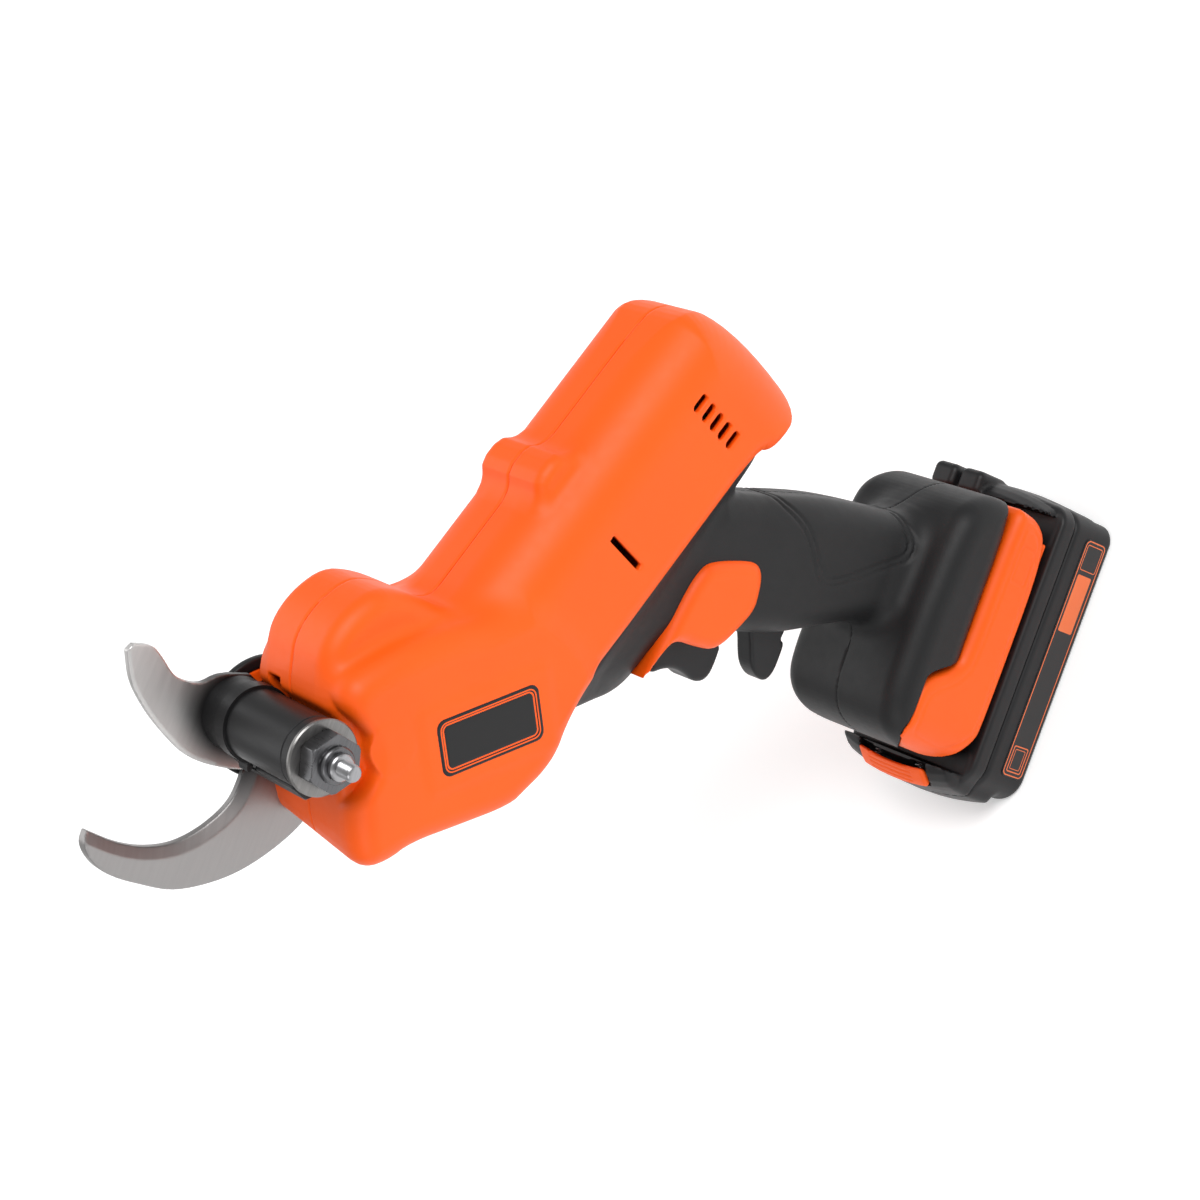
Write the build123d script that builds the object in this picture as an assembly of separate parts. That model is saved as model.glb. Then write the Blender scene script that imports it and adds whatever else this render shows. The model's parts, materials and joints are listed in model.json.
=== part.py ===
from build123d import *
import math
import os

os.makedirs("parts", exist_ok=True)

# ---------------------------------------------------------------- driving sizes, mm and degrees
# The tool stands on its battery. +X is forward, +Y is the nut side, +Z is up.
# The barrel leans up by BARREL_TILT: "along" runs forward on the barrel, "over" runs square to it.
BARREL_TILT = 21.0
BARREL_START = 12.0
BARREL_END = 166.0
BARREL_TOP = 260.0
BARREL_FLOOR = 199.5
BARREL_HALF_WIDTH = 33.5
HEAD_HALF_WIDTH = 36.0
EDGE_BREAK = 2.0
WALL = 2.8
KEEL_BOTTOM = 184.0
KEEL_HALF_WIDTH = 26.0
GRIP_HALF_WIDTH = 18.5
FOOT_HALF_WIDTH = 36.0
SEAM_GAP = 0.05

# jaws
PIVOT_ALONG = 239.2
PIVOT_OVER = 281.1
BOLT_RADIUS = 5.0
RUNNING_FIT = 0.05
SLEEVE_RADIUS = 13.5
SLEEVE_FAR = -24.5
SLEEVE_NEAR = 34.9
BLADE_FAR = -27.5
BLADE_NEAR = -24.5
HOOK_FAR = -33.5
HOOK_NEAR = -28.0

# gear train: motor, planet stage, bevel pair, cross shaft, sector on the blade sleeve
DRIVE_TILT = 33.0
MESH_ANGLE = 230.0
SECTOR_MODULE = 1.5
SECTOR_TEETH = 22
PINION_TEETH = 16
BEVEL_MODULE = 1.0
BEVEL_GEAR_TEETH = 26
BEVEL_PINION_TEETH = 13
PLANET_MODULE = 0.75
SUN_TEETH = 12
PLANET_TEETH = 12
RING_TEETH = 36
BACKLASH = 0.16
BEVEL_BACKLASH = 0.3
TOOTH_TIP = 0.9
BEVEL_PINION_TIP = 0.45
BEVEL_WIDTH = 5.0
SECTOR_FAR = -14.0
SECTOR_NEAR = -8.0
MOTOR_RADIUS = 17.0
CASE_RADIUS = 16.5
CROSS_SHAFT_RADIUS = 4.95
OUTPUT_SHAFT_RADIUS = 4.0
MOTOR_SHAFT_RADIUS = 2.5
PLANET_PIN_RADIUS = 1.5

# ribs of the barrel that hold the motor, the gearbox and the nose bearing: place on the drive, bore
CRADLES = [
    (-172, MOTOR_RADIUS + RUNNING_FIT),
    (-140, MOTOR_RADIUS + RUNNING_FIT),
    (-124, CASE_RADIUS + RUNNING_FIT),
    (-101, CASE_RADIUS + RUNNING_FIT),
    (-31, 8.0),
]

# blank badge on the near side of the head
BADGE_ALONG = 191.0
BADGE_OVER = 229.0
BADGE_THICKNESS = 1.2

# far side disc under the jaws
DISC_X = 122.0
DISC_Z = 329.0
DISC_RADIUS = 23.7

# trigger, its spring stem and the lock lever
TRIGGER_HALF_WIDTH = 8.0
LEVER_HALF_WIDTH = 5.0
STEM_RADIUS = 1.5
STEM_HEIGHT = 179.0
LEVER_PIVOT = (23, 0, 147)
LEVER_PIN_RADIUS = 2.0

# screws that close the shells: along, over and half width on the barrel and head
SCREW_RADIUS = 1.5
BARREL_SCREWS = [(52, 250, 33.0), (120, 207, 33.0), (178, 198, 35.5), (200, 282, 35.5)]

# screws that close the handle: x, z and half width on the grip and foot
HANDLE_SCREWS = [(-14, 118, 18.5), (-43, 69, 36.0), (44, 90, 36.0)]

# battery
PACK_HALF_WIDTH = 38.0
PACK_BODY_TOP = 33.0
CELL_RADIUS = 9.15
CELL_LENGTH = 64.8

# ---------------------------------------------------------------- frames and small helpers
COS_BARREL = math.cos(math.radians(BARREL_TILT))
SIN_BARREL = math.sin(math.radians(BARREL_TILT))
SIDE = Plane(origin=(0, 0, 0), x_dir=(1, 0, 0), z_dir=(0, -1, 0))
BARREL_SIDE = Plane(origin=(0, 0, 0), x_dir=(COS_BARREL, 0, SIN_BARREL), z_dir=(0, -1, 0))


def on_barrel(along, over, across=0.0):
    """The point at a distance along and over the leaning barrel."""
    x = along * COS_BARREL - over * SIN_BARREL
    z = along * SIN_BARREL + over * COS_BARREL
    return (x, across, z)


PIVOT = on_barrel(PIVOT_ALONG, PIVOT_OVER)
MESH_DISTANCE = SECTOR_MODULE * (SECTOR_TEETH + PINION_TEETH) / 2
CROSS_ALONG = PIVOT_ALONG + MESH_DISTANCE * math.cos(math.radians(MESH_ANGLE))
CROSS_OVER = PIVOT_OVER + MESH_DISTANCE * math.sin(math.radians(MESH_ANGLE))
CROSS = on_barrel(CROSS_ALONG, CROSS_OVER)
DISC = (DISC_X, 0, DISC_Z)
DRIVE_DIRECTION = (math.cos(math.radians(DRIVE_TILT)), 0, math.sin(math.radians(DRIVE_TILT)))


def slab(face, near, far, plane=SIDE):
    """A side outline given thickness, from y = near down to y = far."""
    return extrude(plane.offset(-near) * face, amount=near - far)


def outline(points, radius):
    """A closed outline with every corner rounded."""
    return make_face(FilletPolyline(*points, radius=radius, close=True))


def broken_edges(body, half_width):
    """The same slab with a small chamfer round both of its flat sides."""
    rims = body.edges().filter_by_position(Axis.Y, half_width - 0.01, half_width + 0.01)
    rims = rims + body.edges().filter_by_position(Axis.Y, -half_width - 0.01, -half_width + 0.01)
    return chamfer(rims, EDGE_BREAK)


def cross_pin(centre, radius, near, far):
    """A round bar across the tool, from y = near to y = far."""
    middle = Plane(origin=(centre[0], near, centre[2]), z_dir=(0, -1, 0))
    return extrude(middle * Circle(radius), amount=near - far)


def cross_ring(centre, outer, inner, near, far):
    """A washer or bush across the tool."""
    return cross_pin(centre, outer, near, far) - cross_pin(centre, inner, near + 1, far - 1)


def drive_plane(distance):
    """The plane square to the drive shaft, at a distance ahead of the cross shaft."""
    origin = tuple(CROSS[i] + distance * DRIVE_DIRECTION[i] for i in range(3))
    return Plane(origin=origin, x_dir=(0, 1, 0), z_dir=DRIVE_DIRECTION)


def drive_bar(radius, start, end):
    """A round bar on the drive shaft's line."""
    return extrude(drive_plane(start) * Circle(radius), amount=end - start)


def drive_ring(outer, inner, start, end):
    """A round tube on the drive shaft's line."""
    return drive_bar(outer, start, end) - drive_bar(inner, start - 1, end + 1)


def block(x_low, x_high, y_low, y_high, z_low, z_high):
    """A box given by its six faces."""
    size = (x_high - x_low, y_high - y_low, z_high - z_low)
    centre = ((x_high + x_low) / 2, (y_high + y_low) / 2, (z_high + z_low) / 2)
    return Pos(*centre) * Box(*size)


def left_half(body):
    """The +Y half of a two-part shell."""
    return body & block(-200, 300, SEAM_GAP / 2, 100, -10, 500)


def right_half(body):
    """The -Y half of a two-part shell."""
    return body & block(-200, 300, -100, -SEAM_GAP / 2, -10, 500)


def coil(start, end, radius, wire, turns):
    """An open coil spring between two points."""
    axis = Vector(*end) - Vector(*start)
    pitch = axis.length / turns
    place = Plane(origin=start, z_dir=axis)
    path = Helix(pitch=pitch, height=axis.length, radius=radius)
    section = Plane(origin=path @ 0, z_dir=path % 0) * Circle(wire / 2)
    return place.location * sweep(section, path=path, is_frenet=True)


# ---------------------------------------------------------------- gear teeth
def involute_angle(base, radius):
    """How far an involute has turned when it reaches a radius."""
    pressure = math.acos(min(1.0, base / radius))
    return math.tan(pressure) - pressure


def gear_points(teeth, module, slack, first=0, last=None, turn=0.0, scale=1.0, tip_share=TOOTH_TIP):
    """The corner points of external teeth, one tooth centred on the turn angle."""
    pitch_radius = module * teeth / 2
    base = pitch_radius * math.cos(math.radians(20))
    tip = pitch_radius + tip_share * module
    root = pitch_radius - 1.25 * module
    half_pitch = math.pi / 2 / teeth - slack / (2 * pitch_radius)
    half_base = half_pitch + involute_angle(base, pitch_radius)
    last = teeth if last is None else last
    points = []
    for index in range(first, last):
        middle = math.radians(turn) + 2 * math.pi * index / teeth
        low = max(base, root)
        flank = [low + (tip - low) * step / 3 for step in range(4)]
        spread = [half_base - involute_angle(base, radius) for radius in flank]
        left = [(root, spread[0])] + list(zip(flank, spread)) if low > root else list(zip(flank, spread))
        for radius, angle in left:
            points.append((radius * scale, middle - angle))
        for radius, angle in reversed(left):
            points.append((radius * scale, middle + angle))
    return [(radius * math.cos(angle), radius * math.sin(angle)) for radius, angle in points]


def gear_face(teeth, module, slack, turn=0.0, scale=1.0, tip_share=TOOTH_TIP):
    """The full outline of an external gear."""
    points = gear_points(teeth, module, slack, turn=turn, scale=scale, tip_share=tip_share)
    return make_face(Polyline(*points, close=True))


def bevel(teeth, partner, module, turn, width, tip_share):
    """A straight bevel gear with its apex at the origin and its axis on +Z."""
    pitch_radius = module * teeth / 2
    cone_height = module * partner / 2
    far_scale = 1 - width / math.hypot(pitch_radius, cone_height)
    outer_face = gear_face(teeth, module, BEVEL_BACKLASH, turn, 1.0, tip_share)
    inner_face = gear_face(teeth, module, BEVEL_BACKLASH, turn, far_scale, tip_share)
    large = Pos(0, 0, cone_height) * outer_face
    small = Pos(0, 0, cone_height * far_scale) * inner_face
    return loft([large.face(), small.face()], ruled=True)


# ---------------------------------------------------------------- barrel and head shells
HEAD_OUTLINE = [
    (150, 201), (163, 193.5), (172, 186), (184, 184.5), (200, 191.5), (207, 192), (239, 219),
    (251, 224.5), (259, 235), (219.5, 284), (208, 292), (198, 293), (186, 292.5), (177.5, 288),
    (171, 277.5), (160, 266), (150, 259),
]
BARREL_SECTIONS = [
    (BARREL_START, 213.0, 247.0, 21.0, 12.0),
    (BARREL_START + 7, 203.0, 257.0, 29.5, 14.0),
    (BARREL_START + 24, BARREL_FLOOR, BARREL_TOP, BARREL_HALF_WIDTH, 14.0),
    (BARREL_END, BARREL_FLOOR, BARREL_TOP, BARREL_HALF_WIDTH, 14.0),
]


def barrel_solid(inset):
    """The barrel, its ribs and its head as one solid, shrunk by an inset."""
    faces = []
    for along, low, high, half, radius in BARREL_SECTIONS:
        middle = on_barrel(along + (inset if along < BARREL_START + 1 else 0), (low + high) / 2)
        plane = Plane(origin=middle, x_dir=(0, 1, 0), z_dir=(COS_BARREL, 0, SIN_BARREL))
        width = 2 * (half - inset)
        height = high - low - 2 * inset
        faces.append((plane * RectangleRounded(width, height, radius - inset)).face())
    barrel = loft(faces, ruled=True)
    head_face = offset(outline(HEAD_OUTLINE, 2.5), amount=-inset) if inset else outline(HEAD_OUTLINE, 2.5)
    half = HEAD_HALF_WIDTH - inset
    head = slab(head_face, half, -half, BARREL_SIDE)
    if not inset:
        head = broken_edges(head, half)
    return Part() + [barrel, head]


def jaw_clearance():
    """The scoop in front of the head that takes the blade sleeve, its saddle and the nut."""
    scoop = cross_pin(PIVOT, 22.0, 60, -24.4)
    gears = cross_pin(CROSS, 15.0, 16.5, SECTOR_FAR - 3.2)
    blade_notch = cross_pin(PIVOT, 23.2, -24.2, -60)
    disc_notch = cross_pin(DISC, DISC_RADIUS + 0.5, -24.2, -60)
    return Part() + [scoop, gears, blade_notch, disc_notch]


def barrel_screw_places():
    """Each barrel screw's centre with the half width of the shell round it."""
    return [(on_barrel(along, over), half) for along, over, half in BARREL_SCREWS]


def handle_screw_places():
    """Each handle screw's centre with the half width of the shell round it."""
    return [((x, 0, z), half) for x, z, half in HANDLE_SCREWS]


def screw_boss(centre, half_width):
    """A post across the shell for one closing screw."""
    return cross_ring(centre, 4.2, SCREW_RADIUS, half_width - 1, -half_width + 1)


def screw_well(centre, half_width):
    """The counterbore and hole for one closing screw, entered from the far side."""
    well = cross_pin(centre, 3.4, -half_width + 4.5, -half_width - 20)
    return well + cross_pin(centre, SCREW_RADIUS, half_width - 6, -half_width)


def screw(centre, half_width):
    """One closing screw."""
    head = cross_pin(centre, 3.2, -half_width + 4.5, -half_width + 2.5)
    return head + cross_pin(centre, SCREW_RADIUS, half_width - 6, -half_width + 4.5)


def barrel_shells():
    """Both halves of the orange barrel and head, with cradles that hold the drive."""
    void = barrel_solid(WALL)
    shell = barrel_solid(0) - void
    for start, bore in CRADLES:
        rib = extrude(drive_plane(start) * Rectangle(80, 90), amount=3) & void
        shell = shell + (rib - drive_bar(bore, start - 1, start + 4))
    shell = shell + cross_ring(CROSS, 8.0, CROSS_SHAFT_RADIUS + RUNNING_FIT, 34.0, 17.5)
    shell = shell + cross_ring(CROSS, 8.0, CROSS_SHAFT_RADIUS + RUNNING_FIT, -17.5, -34.0)
    for centre, half in barrel_screw_places():
        shell = shell + screw_boss(centre, half)
    rim = cross_pin(PIVOT, 26.0, -21.4, -34) + cross_pin(DISC, DISC_RADIUS + 3.3, -21.4, -34)
    shell = shell + (rim & void)
    shell = shell - cross_pin(CROSS, CROSS_SHAFT_RADIUS + RUNNING_FIT, 33.8, -24.1)
    shell = shell - jaw_clearance() - counter_blade()
    for centre, half in barrel_screw_places():
        shell = shell - screw_well(centre, half)
    for index in range(5):
        place = on_barrel(42.5, 211 + 5.5 * index)
        slot = Plane(origin=place, x_dir=(COS_BARREL, 0, SIN_BARREL), z_dir=(0, -1, 0))
        shell = shell - extrude(slot * SlotOverall(8, 2.4), amount=60, both=True)
    return left_half(shell), right_half(shell)


def badge_plate():
    """A plain blank plate on the near side, where a maker would put a badge."""
    centre = on_barrel(BADGE_ALONG, BADGE_OVER)
    place = (centre[0], HEAD_HALF_WIDTH + BADGE_THICKNESS, centre[2])
    plane = Plane(origin=place, x_dir=(0.553, 0, 0.833), z_dir=(0, -1, 0))
    return extrude(plane * RectangleRounded(45.0, 22.5, 3.0), amount=BADGE_THICKNESS)


# ---------------------------------------------------------------- keel, grip and foot
KEEL_OUTLINE = [(34, KEEL_BOTTOM), (128, KEEL_BOTTOM), (146, 191), (150, BARREL_FLOOR - 0.05),
                (30, BARREL_FLOOR - 0.05)]
GRIP_OUTLINE = [
    (-22, 204.5), (-26, 165), (-31, 135), (-34, 112), (-35, 92), (-28, 84), (8, 84), (11, 104),
    (14, 118), (22, 137), (27, 164), (41, 174), (42, 196), (64, 206), (74, 226), (68, 238.5),
]
FOOT_OUTLINE = [
    (-54, 58), (-55, 68), (-50, 78), (-38, 84), (-30, 92), (8, 98), (34, 101), (48, 100),
    (54, 92), (55, 78), (24, 77.5), (14, 58),
]


def soft_outline_slab(points, inset, half_width, plane):
    """One lobe of the handle, shrunk by an inset, with a broken edge all round."""
    face = outline(points, 3.0)
    if inset:
        face = offset(face, amount=-inset)
    half = half_width - inset
    body = slab(face, half, -half, plane)
    return body if inset else broken_edges(body, half)


def handle_solid(inset):
    """Keel, grip and foot as one solid, shrunk by an inset."""
    keel = soft_outline_slab(KEEL_OUTLINE, inset, KEEL_HALF_WIDTH, BARREL_SIDE)
    grip = soft_outline_slab(GRIP_OUTLINE, inset, GRIP_HALF_WIDTH, SIDE)
    foot = soft_outline_slab(FOOT_OUTLINE, inset, FOOT_HALF_WIDTH, SIDE)
    return Part() + [keel, grip, foot]


def handle_shells():
    """Both halves of the black keel, grip and foot."""
    shell = handle_solid(0) - handle_solid(WALL)
    for centre, half in handle_screw_places():
        shell = shell + screw_boss(centre, half)
    shell = shell + cross_ring(LEVER_PIVOT, 4.5, LEVER_PIN_RADIUS, 16.5, 6.0)
    shell = shell + cross_ring(LEVER_PIVOT, 4.5, LEVER_PIN_RADIUS, -6.0, -16.5)
    shell = shell - cross_pin(LEVER_PIVOT, LEVER_PIN_RADIUS, 15, -15)
    side = TRIGGER_HALF_WIDTH + 0.6
    shell = shell - block(30, 60, -side, side, 161.5, 197)
    side = LEVER_HALF_WIDTH + 0.6
    shell = shell - block(12, 40, -side, side, 119, 157)
    for centre, half in handle_screw_places():
        shell = shell - screw_well(centre, half)
    return left_half(shell), right_half(shell)


def housing_screws():
    """All the screws that close the shells."""
    places = barrel_screw_places() + handle_screw_places()
    return Part() + [screw(centre, half) for centre, half in places]


def trigger_bezel(side):
    """The orange cheek beside the trigger, on one side of the grip."""
    points = [
        (10, 198), (5, 174), (9, 167), (20, 164.5), (27, 166.5), (40.5, 176), (41, 197), (62, 206.2),
        (55, 207), (28, 204),
    ]
    face = outline(points, 1.5)
    if side > 0:
        return slab(face, GRIP_HALF_WIDTH + 3, GRIP_HALF_WIDTH)
    return slab(face, -GRIP_HALF_WIDTH, -GRIP_HALF_WIDTH - 3)


# ---------------------------------------------------------------- jaws
def smooth_face(edges_points):
    """A face bounded by smooth curves, one through each list of points."""
    return make_face([Spline(*points) for points in edges_points])


def cutting_blade():
    """The swinging blade, a flat plate with a convex edge."""
    edge = [(112.2, 400.2), (122, 394), (129.4, 385.8), (136.3, 375), (142.7, 361.3), (143.7, 347.4),
            (141.5, 334.7), (136.4, 331.3)]
    root = [(136.4, 331.3), (124, 332.5), (113, 337.5), (107.6, 347.4)]
    back = [(107.6, 347.4), (110.8, 359.1), (115.6, 366), (116.5, 372.3), (115.4, 378.5),
            (110.4, 385.9), (108, 391.2), (109.4, 399.6)]
    tip = [(109.4, 399.6), (112.2, 400.2)]
    plate = slab(smooth_face([edge, root, back, tip]), BLADE_NEAR, BLADE_FAR)
    return plate - cross_pin(PIVOT, BOLT_RADIUS + RUNNING_FIT, 0, -60)


def counter_blade():
    """The fixed hook that the blade shears past, with its root plate."""
    outer = [(178.7, 387.5), (183.6, 386.6), (188.2, 382.0), (191.6, 374.5), (193.1, 361), (190.6, 342),
             (177.9, 320.2), (157.1, 302.6), (140, 297)]
    root = [(140, 297), (130, 320), (141.1, 331.4)]
    inner = [(141.1, 331.4), (155, 332.3), (166.2, 338.9), (174.9, 348.7), (179.3, 360.1), (180.4, 372.7),
             (178.7, 387.5)]
    hook = slab(smooth_face([outer, root, inner]), HOOK_NEAR, HOOK_FAR)
    plate = cross_pin((DISC_X + 3, 0, DISC_Z - 5), 20.0, HOOK_NEAR, HOOK_FAR)
    eye = cross_pin(PIVOT, 13.0, HOOK_NEAR, HOOK_FAR)
    return Part() + [hook, plate, eye] - cross_pin(PIVOT, BOLT_RADIUS, 0, -60)


def pivot_sleeve():
    """The dark sleeve that carries the blade and turns on the bolt."""
    return cross_ring(PIVOT, SLEEVE_RADIUS, BOLT_RADIUS + RUNNING_FIT, SLEEVE_NEAR, SLEEVE_FAR)


def sector_gear():
    """The toothed sector that drives the sleeve."""
    points = gear_points(SECTOR_TEETH, SECTOR_MODULE, BACKLASH, first=-1, last=7, turn=MESH_ANGLE)
    place = BARREL_SIDE.offset(-SECTOR_NEAR) * Pos(PIVOT_ALONG, PIVOT_OVER)
    teeth = make_face(Polyline((0, 0), *points, close=True))
    face = place * (teeth + Circle(14.6) - Circle(SLEEVE_RADIUS))
    return extrude(face, amount=SECTOR_NEAR - SECTOR_FAR)


def wedge_ring(outer, inner, start, end, near, far):
    """Part of a ring round the jaw pivot, between two angles."""
    steps = [math.radians(start + (end - start) * index / 6) for index in range(7)]
    fan = [(60 * math.cos(angle), 60 * math.sin(angle)) for angle in steps]
    wedge = make_face(Polyline((0, 0), *fan, close=True))
    place = BARREL_SIDE.offset(-near) * Pos(PIVOT_ALONG, PIVOT_OVER)
    return extrude(place * ((Circle(outer) - Circle(inner)) & wedge), amount=near - far)


def jaw_bracket():
    """The black saddle under the sleeve, with a slot that covers the sector."""
    saddle = wedge_ring(21.8, SLEEVE_RADIUS + 0.8, 190, 322, 28.0, -24.1)
    saddle = saddle - cross_pin(PIVOT, 18.5, SECTOR_NEAR + 1, SECTOR_FAR - 1)
    return saddle - cross_pin(CROSS, 14.5, 11.5, SECTOR_FAR - 3.0)


def guard_ring():
    """The black ring on the far side, with a pocket for the bolt's head."""
    return cross_ring(DISC, DISC_RADIUS, 19.0, HOOK_FAR, -37.0) - cross_pin(PIVOT, 8.0, 0, -60)


def guard_cap():
    """The orange cap inside the guard ring."""
    return cross_pin(DISC, 19.0, HOOK_FAR, -36.4) - cross_pin(PIVOT, 8.0, 0, -60)


def pivot_bolt():
    """The bolt through both jaws."""
    head = cross_pin(PIVOT, 7.5, HOOK_FAR, -36.9)
    shank = cross_pin(PIVOT, BOLT_RADIUS, 49.5, HOOK_FAR)
    return Part() + [head, shank, cross_pin(PIVOT, 3.25, 57.5, 49.5)]


def pivot_nut():
    """The locking nut with its round collar."""
    plane = Plane(origin=(PIVOT[0], 45.0, PIVOT[2]), x_dir=(1, 0, 0), z_dir=(0, -1, 0))
    flats = extrude(plane * RegularPolygon(8.5, 6, major_radius=False), amount=8.0)
    nut = flats + cross_pin(PIVOT, 7.3, 47.2, 45.0)
    return nut - cross_pin(PIVOT, BOLT_RADIUS, 60, 30)


# ---------------------------------------------------------------- motor and gears
def motor_can():
    """The motor's steel can with its front plate."""
    return drive_ring(MOTOR_RADIUS, 15.5, -180, -133) + drive_ring(MOTOR_RADIUS, 6.0, -133, -130)


def motor_end_bell():
    """The rear cover of the motor, with three wire lugs."""
    bell = drive_ring(MOTOR_RADIUS, 6.0, -184, -180)
    for index in range(3):
        lug = drive_plane(-188) * Rot(0, 0, 90 + 120 * index) * Pos(12, 0) * Rectangle(3, 5)
        bell = bell + extrude(lug, amount=4)
    return bell


def stator_core():
    """The laminated ring with nine wound poles."""
    core = Circle(15.5) - Circle(13.2)
    for index in range(9):
        core = core + Rot(0, 0, 40 * index) * Pos(11.2, 0) * Rectangle(4.6, 4.2)
    return extrude(drive_plane(-172) * core, amount=34)


def cooling_fan():
    """The small fan on the motor shaft."""
    fan = Circle(5.0)
    for index in range(9):
        fan = fan + Rot(0, 0, 40 * index) * Pos(9.0, 0) * Rectangle(9.0, 1.2)
    return extrude(drive_plane(-137) * (fan - Circle(MOTOR_SHAFT_RADIUS)), amount=2.8)


def sun_pinion():
    """The small gear on the motor shaft."""
    face = gear_face(SUN_TEETH, PLANET_MODULE, BACKLASH) - Circle(MOTOR_SHAFT_RADIUS)
    return extrude(drive_plane(-118.5) * face, amount=9)


def planet_gear(index):
    """One of three planets, half a tooth round from the sun."""
    gap = 180 / PLANET_TEETH
    face = gear_face(PLANET_TEETH, PLANET_MODULE, BACKLASH, turn=gap)
    face = face - Circle(PLANET_PIN_RADIUS + RUNNING_FIT)
    spread = PLANET_MODULE * (SUN_TEETH + PLANET_TEETH) / 2
    return extrude(drive_plane(-118) * Rot(0, 0, 120 * index) * Pos(spread, 0) * face, amount=8.5)


def ring_gear():
    """The fixed internal gear round the planets."""
    pitch_radius = PLANET_MODULE * RING_TEETH / 2
    gap_width = math.pi * PLANET_MODULE / 2 + BACKLASH
    depth = 0.95 * PLANET_MODULE
    tip = pitch_radius - 0.85 * PLANET_MODULE
    face = Circle(15.4) - Circle(tip)
    low = gap_width / 2 + (pitch_radius - tip) * math.tan(math.radians(20)) + 0.05
    high = gap_width / 2 - depth * math.tan(math.radians(20))
    cut = make_face(Polyline((tip - 0.3, -low), (pitch_radius + depth, -high), (pitch_radius + depth, high),
                             (tip - 0.3, low), close=True))
    step = 360 / RING_TEETH
    for index in range(RING_TEETH):
        face = face - Rot(0, 0, step * (index + 0.5)) * cut
    return extrude(drive_plane(-119) * face, amount=10.5)


def planet_carrier():
    """The disc that holds the planets' pins."""
    spread = PLANET_MODULE * (SUN_TEETH + PLANET_TEETH) / 2
    carrier = drive_bar(12.3, -108.8, -105)
    for index in range(3):
        pin = drive_plane(-118) * Rot(0, 0, 120 * index) * Pos(spread, 0) * Circle(PLANET_PIN_RADIUS)
        carrier = carrier + extrude(pin, amount=9.5)
    return carrier


def gearbox_case():
    """The tube round the planet stage, with its front plate."""
    return drive_ring(CASE_RADIUS, 15.4, -130, -102) + drive_ring(CASE_RADIUS, 9.0, -102, -98)


def bevel_pinion():
    """The small bevel gear on the output shaft."""
    turn = 180 / BEVEL_PINION_TEETH
    gear = bevel(BEVEL_PINION_TEETH, BEVEL_GEAR_TEETH, BEVEL_MODULE, turn, BEVEL_WIDTH, BEVEL_PINION_TIP)
    back = tuple(-value for value in DRIVE_DIRECTION)
    return Plane(origin=CROSS, x_dir=(0, 1, 0), z_dir=back).location * gear


def bevel_gear():
    """The large bevel gear on the cross shaft."""
    gear = bevel(BEVEL_GEAR_TEETH, BEVEL_PINION_TEETH, BEVEL_MODULE, 0, BEVEL_WIDTH, TOOTH_TIP)
    back = tuple(-value for value in DRIVE_DIRECTION)
    placed = Plane(origin=CROSS, x_dir=back, z_dir=(0, 1, 0)).location * gear
    backing = cross_pin(CROSS, 12.0, 10.0, 6.5)
    return placed + backing - cross_pin(CROSS, CROSS_SHAFT_RADIUS, 40, -40)


def sector_pinion():
    """The spur pinion that turns the sector."""
    face = gear_face(PINION_TEETH, SECTOR_MODULE, BACKLASH, turn=MESH_ANGLE - 180 + 180 / PINION_TEETH)
    place = BARREL_SIDE.offset(-SECTOR_NEAR + 0.3) * Pos(CROSS_ALONG, CROSS_OVER)
    return extrude(place * (face - Circle(CROSS_SHAFT_RADIUS)), amount=SECTOR_NEAR - SECTOR_FAR - 0.6)


# ---------------------------------------------------------------- trigger and lock lever
def trigger():
    """The trigger with its concave finger face and its stem."""
    points = [
        (38, 163.2), (53, 162.6), (58, 166), (54.6, 173), (54.6, 181), (59.5, 190), (53, 195), (38, 195.5),
    ]
    body = slab(outline(points, 1.5), TRIGGER_HALF_WIDTH, -TRIGGER_HALF_WIDTH)
    pocket = block(37, 52, -TRIGGER_HALF_WIDTH + 1.6, TRIGGER_HALF_WIDTH - 1.6, 165, 193)
    stem_plane = Plane(origin=(53, 0, STEM_HEIGHT), z_dir=(-1, 0, 0))
    return body - pocket + extrude(stem_plane * Circle(STEM_RADIUS), amount=29)


def switch_module():
    """The switch that the trigger's stem works."""
    body = block(4, 29, -9, 9, 169, 197)
    bore = Plane(origin=(40, 0, STEM_HEIGHT), z_dir=(-1, 0, 0))
    return body - extrude(bore * Circle(STEM_RADIUS + RUNNING_FIT), amount=25)


def trigger_spring():
    """The coil that pushes the trigger out."""
    return coil((51.4, 0, STEM_HEIGHT), (29.6, 0, STEM_HEIGHT), 3.2, 0.8, 6)


def lock_lever():
    """The small safety paddle under the trigger."""
    points = [(17.5, 153), (30, 153), (33.5, 146.5), (44.5, 145.5), (47.4, 133), (46, 126.6), (40, 126.2),
              (34, 132), (27, 131), (18, 134)]
    body = slab(outline(points, 1.2), LEVER_HALF_WIDTH, -LEVER_HALF_WIDTH)
    return body - cross_pin(LEVER_PIVOT, LEVER_PIN_RADIUS + RUNNING_FIT, 20, -20)


def lock_pin():
    """The pin that the safety paddle turns on."""
    return cross_pin(LEVER_PIVOT, LEVER_PIN_RADIUS, 15, -15)


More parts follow.
